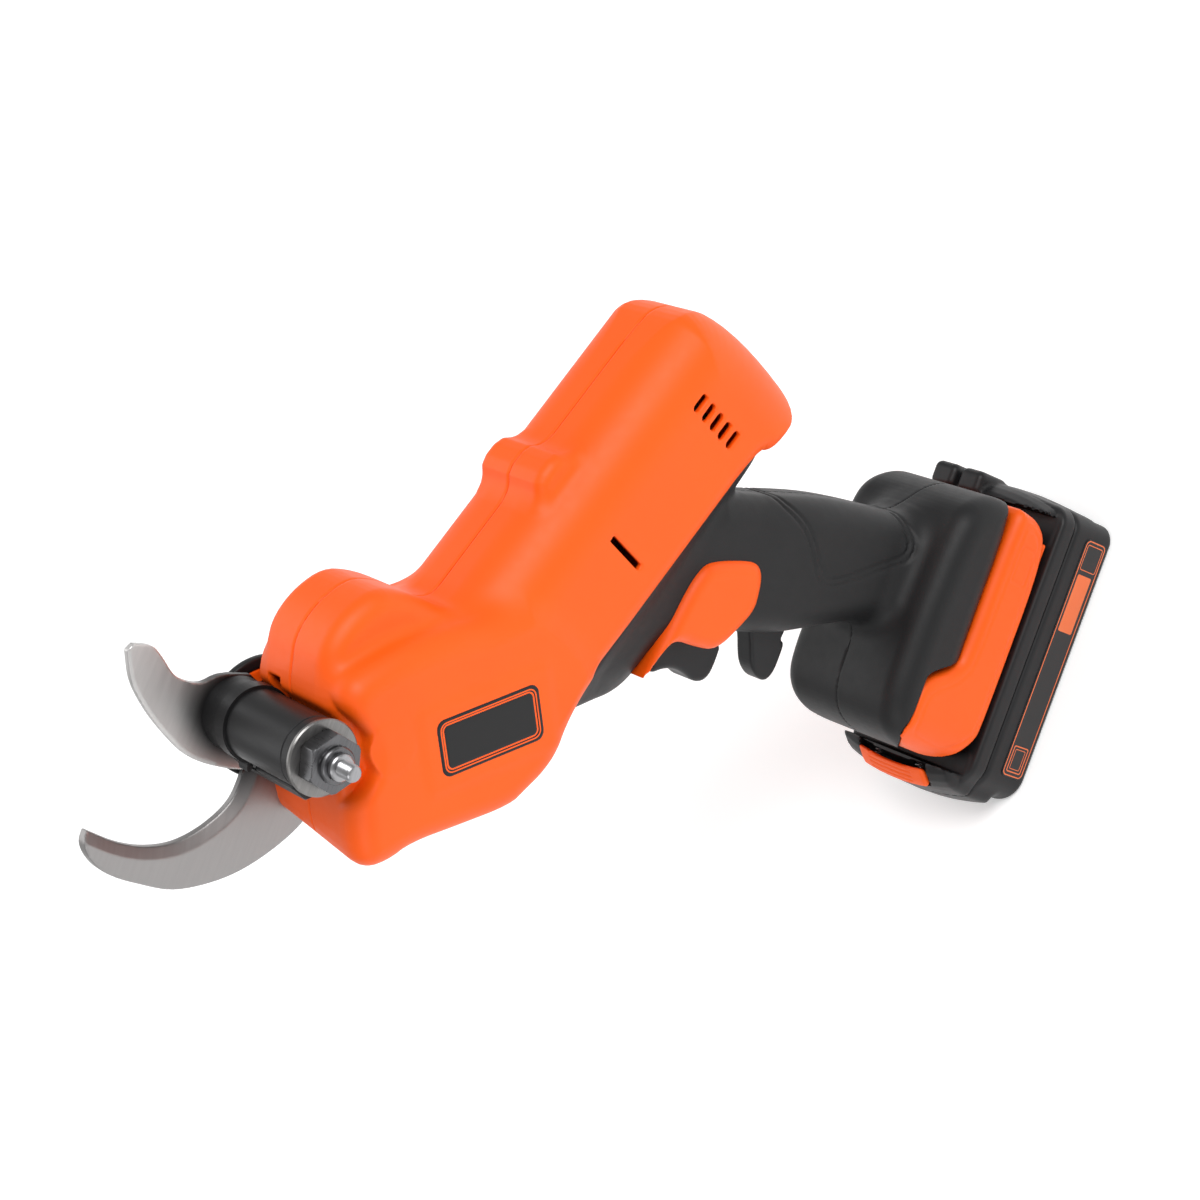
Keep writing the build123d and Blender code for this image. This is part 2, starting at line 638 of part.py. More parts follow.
# ---------------------------------------------------------------- foot, electronics
def foot_collar():
    """The orange band round the foot, with the rails that carry the battery."""
    points = [(-56, 33.4), (56, 33.4), (56.2, 77.3), (25, 77.3), (14.5, 57.8), (-56, 57.8)]
    band = broken_edges(slab(outline(points, 3.0), PACK_HALF_WIDTH, -PACK_HALF_WIDTH), PACK_HALF_WIDTH)
    cavity = block(-52, 70, -34.2, 34.2, 20, 54)
    upper = slab(outline([(21, 58), (52.5, 58), (52.5, 74), (28, 74)], 1.0), 34, -34)
    band = band - cavity - upper
    for side in (-1, 1):
        low, high = sorted((23.6 * side, 35 * side))
        band = band + block(-52.5, 52, low, high, 34, 40.4)
    return band


def control_board():
    """The motor controller on four posts in the foot."""
    board = block(-34, 10, -26, 26, 64, 65.6)
    sink = block(-28, -10, -14, 14, 65.6, 71)
    posts = [Pos(x, y, 62.4) * Cylinder(2.5, 3.2) for x in (-30, 6) for y in (-22, 22)]
    return Part() + [board, sink] + posts


def board_capacitors():
    """Two capacitors standing on the controller."""
    return Part() + [Pos(0, y, 65.6 + 5.5) * Cylinder(4, 11) for y in (-10, 10)]


def terminal_block():
    """The contact block under the foot, with two hanging blades."""
    body = block(-28, 8, -15, 15, 48, 54)
    blades = [block(-12, 4, y - 0.4, y + 0.4, 38.5, 48) for y in (-8, 8)]
    return Part() + [body] + blades


# ---------------------------------------------------------------- battery
def pack_outline(inset):
    """The pack seen from above, shrunk by an inset."""
    length = 122.0 - 2 * inset
    return Pos(1, 0) * RectangleRounded(length, 2 * (PACK_HALF_WIDTH - inset), 9.0 - inset)


def pack_bosses(low, high, radius, bore):
    """The four screw posts in the corners of the pack."""
    post = Cylinder(radius, high - low) - Cylinder(bore, high - low)
    posts = []
    for x in (-53, 55):
        for y in (-29, 29):
            posts.append(Pos(x, y, (low + high) / 2) * post)
    return posts


def battery_bottom_case():
    """The lower tray of the pack."""
    tray = extrude(pack_outline(0), amount=24.4)
    tray = chamfer(tray.faces().sort_by(Axis.Z)[0].edges(), 1.5)
    tray = tray - extrude(Plane.XY.offset(2.4) * pack_outline(2.4), amount=30)
    tray = tray - block(-70, -57.5, -14, 14, -1, 40)
    tray = tray + block(-57.6, -55.2, -17, 17, 0.5, 24.4)
    tray = Part() + [tray] + pack_bosses(2.4, 24.4, 3.0, 1.25)
    for x in (-53, 55):
        for y in (-29, 29):
            tray = tray - Pos(x, y, 0) * Cylinder(1.25, 50)
            tray = tray - Pos(x, y, 0) * Cylinder(2.6, 4.0)
    return tray


def battery_top_case():
    """The upper half of the pack with its rails and front wall."""
    lid = extrude(Plane.XY.offset(24.45) * pack_outline(0), amount=PACK_BODY_TOP - 24.45)
    lid = lid - extrude(Plane.XY.offset(20) * pack_outline(2.4), amount=PACK_BODY_TOP - 22.4)
    lid = lid - block(-70, -57.5, -14, 14, -1, 40)
    lid = lid + block(-57.6, -55.2, -17, 17, 24.45, PACK_BODY_TOP)
    tower = block(-50, 56.7, -23, 23, 30.7, 41) + block(-50, 56.7, -27, 27, 41, 46)
    tower = tower - block(-47.6, 54, -20.6, 20.6, 30, 36)
    front = Plane(origin=(61.2, 0, 24.45)) * RectangleRounded(9.2, 66, 4.0)
    wall = extrude(front, amount=40.5)
    lid = Part() + [lid, tower, wall]
    for y in (-8, 8):
        lid = lid - block(-51, 12, y - 2.3, y + 2.3, 37.4, 47)
    return lid - block(58.6, 70, -20.3, 20.3, 36.7, 50.3)


def battery_latch():
    """The orange push bar at the front of the pack."""
    body = Plane(origin=(65.0, 0, 37)) * RectangleRounded(6.4, 40, 2.5)
    return extrude(body, amount=13)


def latch_spring(side):
    """One of the two small coils behind the latch."""
    return coil((61.4, 12 * side, 43.5), (59.0, 12 * side, 43.5), 2.4, 0.5, 4)


def battery_label():
    """The blank plate on the near side of the pack."""
    plane = Plane(origin=(-1.5, PACK_HALF_WIDTH + 0.4, 9.6), x_dir=(1, 0, 0), z_dir=(0, -1, 0))
    return extrude(plane * RectangleRounded(106, 13.4, 1.5), amount=0.4)


def cell_places():
    """Where each cell lies along the pack."""
    return [1 + 19.6 * (index - 2) for index in range(5)]


def battery_cells():
    """Five round cells lying across the pack."""
    half = CELL_LENGTH / 2
    return Part() + [cross_pin((x, 0, 13.0), CELL_RADIUS, half, -half) for x in cell_places()]


def cell_holder(side):
    """The comb that holds one end of every cell."""
    low, high = sorted((26 * side, 35 * side))
    comb = block(-49.5, 51.5, low, high, 2.4, 23.6)
    for x in cell_places():
        comb = comb - cross_pin((x, 0, 13.0), CELL_RADIUS + RUNNING_FIT, CELL_LENGTH / 2, -CELL_LENGTH / 2)
    return comb


def battery_board():
    """The pack's own small board, lying on the cell combs."""
    return block(-30, 34, -30, 30, 23.6, 25.0) + block(-20, 0, -9, 9, 25.0, 29.0)


def battery_contacts():
    """Two forked clips that the foot's blades slide into."""
    leaves = []
    for y in (-8, 8):
        for side in (-1, 1):
            low, high = sorted((y + 1.3 * side, y + 2.3 * side))
            leaves.append(block(-14, 6, low, high, 37.4, 44))
    return Part() + leaves


def battery_screws():
    """Four screws that close the pack from below."""
    screws = []
    for x in (-53, 55):
        for y in (-29, 29):
            screws.append(Pos(x, y, 1.4) * Cylinder(2.4, 1.2))
            screws.append(Pos(x, y, 11.0) * Cylinder(1.25, 18.0))
    return Part() + screws


# ---------------------------------------------------------------- write every part
barrel_left, barrel_right = barrel_shells()
handle_left, handle_right = handle_shells()
PARTS = {
    "barrel_shell_left": barrel_left,
    "barrel_shell_right": barrel_right,
    "badge_plate": badge_plate(),
    "handle_shell_left": handle_left,
    "handle_shell_right": handle_right,
    "bezel_left": trigger_bezel(1),
    "bezel_right": trigger_bezel(-1),
    "foot_collar": foot_collar(),
    "housing_screws": housing_screws(),
    "cutting_blade": cutting_blade(),
    "pivot_sleeve": pivot_sleeve(),
    "sector_gear": sector_gear(),
    "counter_blade": counter_blade(),
    "jaw_bracket": jaw_bracket(),
    "guard_ring": guard_ring(),
    "guard_cap": guard_cap(),
    "pivot_bolt": pivot_bolt(),
    "pivot_nut": pivot_nut(),
    "pivot_washer": cross_ring(PIVOT, 14.3, BOLT_RADIUS, 37.0, 35.0),
    "thrust_washer": cross_ring(PIVOT, 9.0, BOLT_RADIUS, -27.55, HOOK_NEAR),
    "motor_can": motor_can(),
    "motor_end_bell": motor_end_bell(),
    "motor_bearing_front": drive_ring(6.0, MOTOR_SHAFT_RADIUS + RUNNING_FIT, -133, -130),
    "motor_bearing_rear": drive_ring(6.0, MOTOR_SHAFT_RADIUS + RUNNING_FIT, -184, -180),
    "stator_core": stator_core(),
    "motor_shaft": drive_bar(MOTOR_SHAFT_RADIUS, -185, -109.6),
    "rotor_magnet": drive_ring(8.4, MOTOR_SHAFT_RADIUS, -171, -139),
    "cooling_fan": cooling_fan(),
    "sun_pinion": sun_pinion(),
    "planet_gear_1": planet_gear(0),
    "planet_gear_2": planet_gear(1),
    "planet_gear_3": planet_gear(2),
    "ring_gear": ring_gear(),
    "planet_carrier": planet_carrier(),
    "gearbox_case": gearbox_case(),
    "output_bearing": drive_ring(9.0, OUTPUT_SHAFT_RADIUS + RUNNING_FIT, -102, -98),
    "nose_bearing": drive_ring(8.0, OUTPUT_SHAFT_RADIUS + RUNNING_FIT, -31, -28),
    "output_shaft": drive_bar(OUTPUT_SHAFT_RADIUS, -105, -13),
    "bevel_pinion": bevel_pinion(),
    "bevel_gear": bevel_gear(),
    "cross_shaft": cross_pin(CROSS, CROSS_SHAFT_RADIUS, 32, -24),
    "sector_pinion": sector_pinion(),
    "trigger": trigger(),
    "trigger_spring": trigger_spring(),
    "switch_module": switch_module(),
    "lock_lever": lock_lever(),
    "lock_pin": lock_pin(),
    "control_board": control_board(),
    "board_capacitors": board_capacitors(),
    "terminal_block": terminal_block(),
    "battery_bottom_case": battery_bottom_case(),
    "battery_top_case": battery_top_case(),
    "battery_latch": battery_latch(),
    "latch_springs": Part() + [latch_spring(-1), latch_spring(1)],
    "battery_label": battery_label(),
    "battery_cells": battery_cells(),
    "cell_holders": Part() + [cell_holder(-1), cell_holder(1)],
    "battery_board": battery_board(),
    "battery_contacts": battery_contacts(),
    "battery_screws": battery_screws(),
}
for name, body in PARTS.items():
    export_step(body, f"parts/{name}.step")
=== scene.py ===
import json
import math

import bmesh
import bpy
import numpy as np
from mathutils import Matrix, Vector


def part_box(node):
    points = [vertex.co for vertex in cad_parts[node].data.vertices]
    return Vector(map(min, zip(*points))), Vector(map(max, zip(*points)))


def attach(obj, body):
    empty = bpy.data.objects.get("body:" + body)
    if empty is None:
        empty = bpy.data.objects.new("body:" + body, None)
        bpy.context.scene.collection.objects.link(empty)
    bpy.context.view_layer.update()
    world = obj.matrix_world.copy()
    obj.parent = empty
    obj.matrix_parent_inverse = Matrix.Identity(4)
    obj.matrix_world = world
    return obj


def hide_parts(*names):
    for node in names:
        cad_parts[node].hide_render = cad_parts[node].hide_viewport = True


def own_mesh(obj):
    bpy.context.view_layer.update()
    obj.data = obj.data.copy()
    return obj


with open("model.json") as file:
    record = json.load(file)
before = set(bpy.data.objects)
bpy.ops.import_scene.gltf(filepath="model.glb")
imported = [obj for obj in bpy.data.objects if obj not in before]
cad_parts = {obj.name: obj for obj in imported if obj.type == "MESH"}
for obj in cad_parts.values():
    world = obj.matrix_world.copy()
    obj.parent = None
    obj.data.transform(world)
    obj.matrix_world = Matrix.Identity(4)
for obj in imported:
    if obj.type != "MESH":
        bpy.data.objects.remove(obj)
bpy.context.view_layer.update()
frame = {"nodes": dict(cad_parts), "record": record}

MM = 0.001

# ---- places taken from the frame, mm
JOINTS = {joint["name"]: joint for joint in frame["record"]["behaviour"]["joints"]}
BARREL_TILT = math.radians(21.0)
COS_TILT, SIN_TILT = math.cos(BARREL_TILT), math.sin(BARREL_TILT)
PIVOT_X, _, PIVOT_Z = [value / MM for value in JOINTS["blade_swing"]["pos_m"]]


def to_barrel(x, z):
    """Where a point lies along and over the tilted barrel."""
    return x * COS_TILT + z * SIN_TILT, -x * SIN_TILT + z * COS_TILT


PIVOT_ALONG, PIVOT_OVER = to_barrel(PIVOT_X, PIVOT_Z)


def node_box(name):
    """The lowest and highest corner of a CAD node, in mm."""
    low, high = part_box(name)
    return np.array(low) / MM, np.array(high) / MM


# ---- distance fields
def smooth_outline(points, rounds=2):
    """An outline with its corners cut twice, so that it reads as a curve."""
    ring = np.array(points, float)
    for _ in range(rounds):
        after = np.roll(ring, -1, axis=0)
        ring = np.stack([ring * 0.75 + after * 0.25, ring * 0.25 + after * 0.75], 1).reshape(-1, 2)
    return ring


def outline_distance(points, rounds=2):
    """A function giving the signed distance to a closed outline, negative inside."""
    ring = smooth_outline(points, rounds)
    after = np.roll(ring, -1, axis=0)

    def distance(u, v):
        nearest = np.full(np.broadcast(u, v).shape, 1e9, np.float32)
        inside = np.zeros(nearest.shape, bool)
        for (ax, ay), (bx, by) in zip(ring, after):
            dx, dy = bx - ax, by - ay
            share = np.clip(((u - ax) * dx + (v - ay) * dy) / (dx * dx + dy * dy), 0, 1)
            nearest = np.minimum(nearest, (u - ax - share * dx) ** 2 + (v - ay - share * dy) ** 2)
            if ay != by:
                crosses = (ay > v) != (by > v)
                inside ^= crosses & (u < ax + (v - ay) * dx / dy)
        return np.where(inside, -1.0, 1.0) * np.sqrt(nearest)

    return distance


def merge(a, b, soft):
    """The union of two fields with a soft fillet between them."""
    share = np.clip(0.5 + 0.5 * (b - a) / soft, 0, 1)
    return b + (a - b) * share - soft * share * (1 - share)


def carve(a, b, soft):
    """The first field with the second cut out, with a soft edge."""
    return -merge(-a, b, soft)


def round_corner(a, b):
    """The distance to two flats that meet, square inside and round outside."""
    return np.minimum(np.maximum(a, b), 0) + np.hypot(np.maximum(a, 0), np.maximum(b, 0))


def rounded(flat, across, half, edge):
    """An outline's distance given thickness, with a round edge."""
    return round_corner(flat + edge, np.abs(across) - (half - edge)) - edge


def rounded_rectangle(u, v, half_u, half_v, corner):
    """The distance to a rounded rectangle."""
    return round_corner(np.abs(u) - (half_u - corner), np.abs(v) - (half_v - corner)) - corner


def box_field(point, centre, half, edge):
    """A box with round edges."""
    gaps = [np.abs(value - middle) - (size - edge) for value, middle, size in zip(point, centre, half)]
    corner = np.sqrt(sum(np.maximum(gap, 0) ** 2 for gap in gaps))
    return np.minimum(np.maximum(np.maximum(gaps[0], gaps[1]), gaps[2]), 0) + corner - edge


def groove(field, line, width, depth):
    """The field with a shallow round-bottomed groove where the line's distance is nought."""
    return field + depth * np.exp(-((line / width) ** 2))


# ---- meshes from fields
def neighbours(values, axis, rest):
    """Each value and the next one along an axis."""
    first, second = [rest] * 3, [rest] * 3
    first[axis], second[axis] = slice(None, -1), slice(1, None)
    return values[tuple(first)], values[tuple(second)]


def net(field, low, high, step):
    """Corners and quads of a field's surface, by surface nets."""
    axes = [np.arange(a, b + step, step, dtype=np.float32) for a, b in zip(low, high)]
    grid = np.meshgrid(*axes, indexing="ij", sparse=True)
    shape = tuple(len(axis) for axis in axes)
    values = np.broadcast_to(field(*grid), shape).astype(np.float32)
    inside = values < 0
    cells = tuple(count - 1 for count in shape)
    total = np.zeros(cells + (3,), np.float32)
    count = np.zeros(cells, np.float32)
    for axis in range(3):
        others = [other for other in range(3) if other != axis]
        a, b = neighbours(values, axis, slice(None))
        cross = (a < 0) != (b < 0)
        share = np.where(cross, a / np.where(cross, a - b, 1), 0)
        for du in (0, 1):
            for dv in (0, 1):
                part = [slice(None)] * 3
                part[others[0]] = slice(du, du + cells[others[0]])
                part[others[1]] = slice(dv, dv + cells[others[1]])
                part = tuple(part)
                hit = cross[part]
                count += hit
                total[..., axis] += np.where(hit, share[part], 0)
                total[..., others[0]] += du * hit
                total[..., others[1]] += dv * hit
    live = count > 0
    number = np.full(cells, -1, np.int64)
    number[live] = np.arange(int(live.sum()))
    base = np.stack(np.nonzero(live), 1)
    points = (base + total[live] / count[live][:, None]) * step + np.array(low, np.float32)
    quads = []
    for axis in range(3):
        others = [other for other in range(3) if other != axis]
        a, b = neighbours(inside, axis, slice(1, -1))
        places = np.stack(np.nonzero(a != b), 1)
        for other in others:
            places[:, other] += 1
        leaves = a[a != b]
        ring = []
        for du, dv in ((0, 0), (1, 0), (1, 1), (0, 1)):
            spot = places.copy()
            spot[:, others[0]] -= du
            spot[:, others[1]] -= dv
            ring.append(number[spot[:, 0], spot[:, 1], spot[:, 2]])
        faces = np.stack(ring, 1)
        turned = leaves if axis != 1 else ~leaves
        quads.append(np.where(turned[:, None], faces, faces[:, ::-1]))
    return settle(field, points, step), np.concatenate(quads)


def settle(field, points, step):
    """The corners moved on to the field's true surface."""
    small = 0.05
    for _ in range(2):
        x, y, z = points.T
        here = field(x, y, z)
        slope = np.stack([
            field(x + small, y, z) - here,
            field(x, y + small, z) - here,
            field(x, y, z + small) - here,
        ], 1) / small
        size = np.maximum((slope ** 2).sum(1), 0.25)
        move = np.clip(here / size, -step, step)[:, None] * slope
        points = points - np.clip(move, -0.6 * step, 0.6 * step)
    return points


def same(points):
    """Points already in the tool's frame."""
    return points


def from_barrel(points):
    """Points from along, across and over the barrel to the tool's frame."""
    along, across, over = points.T
    return np.stack([along * COS_TILT - over * SIN_TILT, across, along * SIN_TILT + over * COS_TILT], 1)


def make_object(name, points, faces, smooth=True):
    """A mesh object from corners in mm."""
    mesh = bpy.data.meshes.new(name)
    corners = (np.asarray(points, float) * MM).tolist()
    mesh.from_pydata(corners, [], faces.tolist() if hasattr(faces, "tolist") else faces)
    mesh.update()
    obj = bpy.data.objects.new(name, mesh)
    bpy.context.scene.collection.objects.link(obj)
    if smooth:
        mesh.polygons.foreach_set("use_smooth", [True] * len(mesh.polygons))
    return obj


def moulded(name, field, low, high, step, place=same):
    """A piece made from a distance field, with its shading split at sharp edges."""
    points, quads = net(field, low, high, step)
    obj = make_object(name, place(points), quads)
    obj.data.set_sharp_from_angle(angle=math.radians(50))
    return obj


def dress(obj, body, slot, material, *nodes):
    """Gives a piece its body and material and hides the CAD nodes it stands for; the slot is not used."""
    obj.data.materials.clear()
    obj.data.materials.append(material)
    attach(obj, body)
    if nodes:
        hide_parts(*nodes)
    return obj


# ---- materials
def new_material(name):
    """An empty node material with its shader."""
    material = bpy.data.materials.new(name)
    material.use_nodes = True
    tree = material.node_tree
    shader = tree.nodes["Principled BSDF"]
    return material, tree, shader


def noise(tree, scale, detail=3.0):
    """A noise texture in the piece's own space."""
    place = tree.nodes.new("ShaderNodeTexCoord")
    texture = tree.nodes.new("ShaderNodeTexNoise")
    texture.inputs["Scale"].default_value = scale
    texture.inputs["Detail"].default_value = detail
    tree.links.new(place.outputs["Object"], texture.inputs["Vector"])
    return texture


def ramp(tree, source, low, high, start=0.3, end=0.7):
    """A colour ramp from one colour to another."""
    node = tree.nodes.new("ShaderNodeValToRGB")
    node.color_ramp.elements[0].position = start
    node.color_ramp.elements[1].position = end
    node.color_ramp.elements[0].color = (*low, 1)
    node.color_ramp.elements[1].color = (*high, 1)
    tree.links.new(source, node.inputs["Fac"])
    return node


def spread(tree, source, low, high):
    """A value between two limits."""
    node = tree.nodes.new("ShaderNodeMapRange")
    node.inputs["To Min"].default_value = low
    node.inputs["To Max"].default_value = high
    tree.links.new(source, node.inputs["Value"])
    return node


def finish(tree, shader, colour, tone, drift, polish, gloss, relief, strength, depth):
    """Joins tone drift, uneven gloss and a fine relief to the shader."""
    darker = tuple(value * (1 - tone) for value in colour)
    lighter = tuple(min(1.0, value * (1 + tone)) for value in colour)
    tint = ramp(tree, drift.outputs["Fac"], darker, lighter)
    tree.links.new(tint.outputs["Color"], shader.inputs["Base Color"])
    level = spread(tree, polish.outputs["Fac"], *gloss)
    tree.links.new(level.outputs["Result"], shader.inputs["Roughness"])
    bump = tree.nodes.new("ShaderNodeBump")
    bump.inputs["Strength"].default_value = strength
    bump.inputs["Distance"].default_value = depth
    tree.links.new(relief.outputs["Fac"], bump.inputs["Height"])
    tree.links.new(bump.outputs["Normal"], shader.inputs["Normal"])


def plastic(name, colour, rough, grain, strength, tone=0.10, coat=0.0):
    """Moulded plastic: slight tone drift, fine grain and uneven gloss."""
    material, tree, shader = new_material(name)
    finish(tree, shader, colour, tone, noise(tree, 18.0, 2.0), noise(tree, 240.0, 4.0),
           (rough - 0.05, rough + 0.07), noise(tree, grain, 2.0), strength, 0.0002)
    shader.inputs["Specular IOR Level"].default_value = 0.32
    shader.inputs["Coat Weight"].default_value = coat
    shader.inputs["Coat Roughness"].default_value = 0.3
    return material


def metal(name, colour, rough, streak=60.0, metallic=1.0, tone=0.12):
    """Metal with fine brushed streaks and small wear in its gloss."""
    material, tree, shader = new_material(name)
    place = tree.nodes.new("ShaderNodeTexCoord")
    stretch = tree.nodes.new("ShaderNodeMapping")
    stretch.inputs["Scale"].default_value = (1.0, 1.0, 14.0)
    tree.links.new(place.outputs["Object"], stretch.inputs["Vector"])
    lines = tree.nodes.new("ShaderNodeTexNoise")
    lines.inputs["Scale"].default_value = streak
    lines.inputs["Detail"].default_value = 5.0
    tree.links.new(stretch.outputs["Vector"], lines.inputs["Vector"])
    finish(tree, shader, colour, tone, lines, lines, (rough - 0.06, rough + 0.08), lines, 0.06, 0.0001)
    shader.inputs["Metallic"].default_value = metallic
    return material


def painted_hub_shade(material, centre, near, far, dark):
    """A metal with painted shade: it darkens towards a point, standing in for the shadow that falls round
    the hub.
    """
    tree = material.node_tree
    shader = tree.nodes["Principled BSDF"]
    before = shader.inputs["Base Color"].links[0].from_socket
    place = tree.nodes.new("ShaderNodeTexCoord")
    gap = tree.nodes.new("ShaderNodeVectorMath")
    gap.operation = "DISTANCE"
    gap.inputs[1].default_value = centre
    tree.links.new(place.outputs["Object"], gap.inputs[0])
    share = tree.nodes.new("ShaderNodeMapRange")
    share.interpolation_type = "SMOOTHSTEP"
    share.inputs["From Min"].default_value = near
    share.inputs["From Max"].default_value = far
    tree.links.new(gap.outputs["Value"], share.inputs["Value"])
    mix = tree.nodes.new("ShaderNodeMix")
    mix.data_type = "RGBA"
    mix.inputs["A"].default_value = (*dark, 1)
    tree.links.new(share.outputs["Result"], mix.inputs["Factor"])
    tree.links.new(before, mix.inputs["B"])
    tree.links.new(mix.outputs["Result"], shader.inputs["Base Color"])
    return material


ORANGE = plastic("orange_shell", (0.95, 0.105, 0.002), 0.46, 2600.0, 0.10, 0.04)
ORANGE_TRIM = plastic("orange_trim", (0.93, 0.105, 0.002), 0.44, 2600.0, 0.10, 0.04)
RUBBER = plastic("grip_rubber", (0.0085, 0.0088, 0.0095), 0.50, 1800.0, 0.25, 0.15)
BLACK = plastic("black_plastic", (0.0085, 0.0088, 0.0098), 0.42, 2200.0, 0.15, 0.15)
PACK = plastic("pack_plastic", (0.0088, 0.0090, 0.0100), 0.44, 2000.0, 0.2, 0.15)
NYLON = plastic("nylon", (0.03, 0.03, 0.033), 0.55, 1500.0, 0.2, 0.15)
BADGE = plastic("badge_black", (0.007, 0.007, 0.0075), 0.35, 2400.0, 0.08, 0.1)
LABEL = plastic("label_film", (0.006, 0.006, 0.0065), 0.30, 1600.0, 0.04, 0.1, 0.3)
LABEL_MARK = plastic("label_mark", (0.75, 0.16, 0.05), 0.35, 1600.0, 0.04, 0.08)
BOARD = plastic("board_green", (0.02, 0.12, 0.05), 0.4, 900.0, 0.2, 0.2)
SLEEVE_BLUE = plastic("cell_sleeve", (0.06, 0.20, 0.34), 0.35, 1200.0, 0.08, 0.1)
CAN_SLEEVE = plastic("capacitor_sleeve", (0.02, 0.025, 0.07), 0.35, 1200.0, 0.08, 0.1)
HUB = metal("hub_black", (0.026, 0.026, 0.027), 0.42, 80.0, 0.75, 0.05)
BLADE = metal("blade_steel", (0.60, 0.588, 0.58), 0.44, 45.0, 1.0, 0.04)
HOOK = metal("hook_steel", (0.325, 0.315, 0.312), 0.44, 45.0, 1.0, 0.04)
FASTENER = metal("fastener_steel", (0.13, 0.13, 0.135), 0.28, 120.0)
WASHER = metal("washer_steel", (0.22, 0.215, 0.21), 0.34, 120.0)
BOLT = metal("bolt_steel", (0.34, 0.34, 0.35), 0.30, 120.0)
GEAR = metal("gear_steel", (0.42, 0.42, 0.43), 0.32, 120.0)
CAN = metal("motor_steel", (0.33, 0.33, 0.34), 0.35, 90.0)
COPPER = metal("copper", (0.60, 0.25, 0.12), 0.35, 160.0)
MAGNET = metal("magnet", (0.10, 0.10, 0.11), 0.4, 90.0)
CONTACT = metal("contact", (0.66, 0.45, 0.18), 0.3, 120.0)
SPRING = metal("spring_wire", (0.45, 0.45, 0.46), 0.28, 200.0)
pivot_point = (PIVOT_X * MM, -0.025, PIVOT_Z * MM)
# painted shade on the blade and the hook, darker towards the pivot
painted_hub_shade(BLADE, pivot_point, 0.011, 0.028, (0.018, 0.018, 0.019))
painted_hub_shade(HOOK, pivot_point, 0.022, 0.044, (0.018, 0.018, 0.019))

# ---- barrel and head
WALL = 2.6
BARREL_SIDE_OUTLINE = [
    (8, 222), (11.6, 246.5), (20.5, 258.5), (34, 260.5), (90, 260.5), (150, 260.5), (178, 260),
    (180, 204), (150, 199.5), (80, 199.4), (38, 199.2), (35, 193.5), (20, 192.5), (10, 200),
]
BARREL_TALL_OUTLINE = [
    (8, 222), (11.6, 246.5), (20, 260.5), (34, 260.5), (90, 260.5), (150, 260.5), (186, 260.5),
    (186, 150), (100, 150), (12, 150), (9, 190),
]
HEAD_SIDE_OUTLINE = [
    (144, 203), (158, 200), (168, 196.5), (178, 192.5), (188, 192), (198, 194), (206, 195.5),
    (225, 210), (241, 222.5), (251, 226), (258.5, 232), (258, 241), (240, 262), (224, 283),
    (214, 289), (204, 286), (190, 279), (174, 268), (163, 257), (153, 248), (144, 243),
]
LOBE_OUTLINE = [
    (163, 240), (166, 262), (169.5, 276), (173.5, 286), (179, 294), (190, 298), (201, 298.6),
    (210, 296), (217.5, 289.5), (226, 280), (236, 267), (240, 240), (200, 220),
]
HUMP_OUTLINE = [
    (86, 250), (86, 258), (91.5, 261.5), (96.5, 267), (107.5, 267), (112.5, 261.5), (118, 258),
    (118, 250),
]
BARREL_HALF_WIDTH, HEAD_HALF_WIDTH, LOBE_HALF_WIDTH, HUMP_HALF_WIDTH = 33.4, 36.3, 23.0, 20.5
SCOOP_RADIUS, POCKET_RADIUS, SADDLE_SPACE, NOTCH_RADIUS, SHAFT_BOSS_RADIUS = 15.2, 17.0, 22.2, 23.2, 7.5
SLOT_ALONG, SLOT_OVER, SLOT_HALF_LENGTH = 106.3, 224.5, 9.5
VENT_ALONG, VENT_OVER, VENT_PITCH = 45.2, 227, 5.6
barrel_flat = outline_distance(BARREL_SIDE_OUTLINE)
barrel_tall = outline_distance(BARREL_TALL_OUTLINE)
head_flat = outline_distance(HEAD_SIDE_OUTLINE)
lobe_flat = outline_distance(LOBE_OUTLINE)
hump_flat = outline_distance(HUMP_OUTLINE, 1)
badge_low, badge_high = node_box("badge_plate")
BADGE_X, BADGE_Z = (badge_low[0] + badge_high[0]) / 2, (badge_low[2] + badge_high[2]) / 2
BADGE_ALONG, BADGE_OVER = to_barrel(BADGE_X, BADGE_Z)
BADGE_LEAN = math.atan2(0.833, 0.553) - BARREL_TILT
BADGE_TOP = badge_high[1]


CROSS_X, _, CROSS_Z = [value / MM for value in JOINTS["cross_spin"]["pos_m"]]
CROSS_ALONG, CROSS_OVER = to_barrel(CROSS_X, CROSS_Z)
CROSS_END = node_box("cross_shaft")[1][1]


def badge_frame(along, over):
    """Distances along and across the badge's own long side."""
    u = (along - BADGE_ALONG) * math.cos(BADGE_LEAN) + (over - BADGE_OVER) * math.sin(BADGE_LEAN)
    v = -(along - BADGE_ALONG) * math.sin(BADGE_LEAN) + (over - BADGE_OVER) * math.cos(BADGE_LEAN)
    return u, v


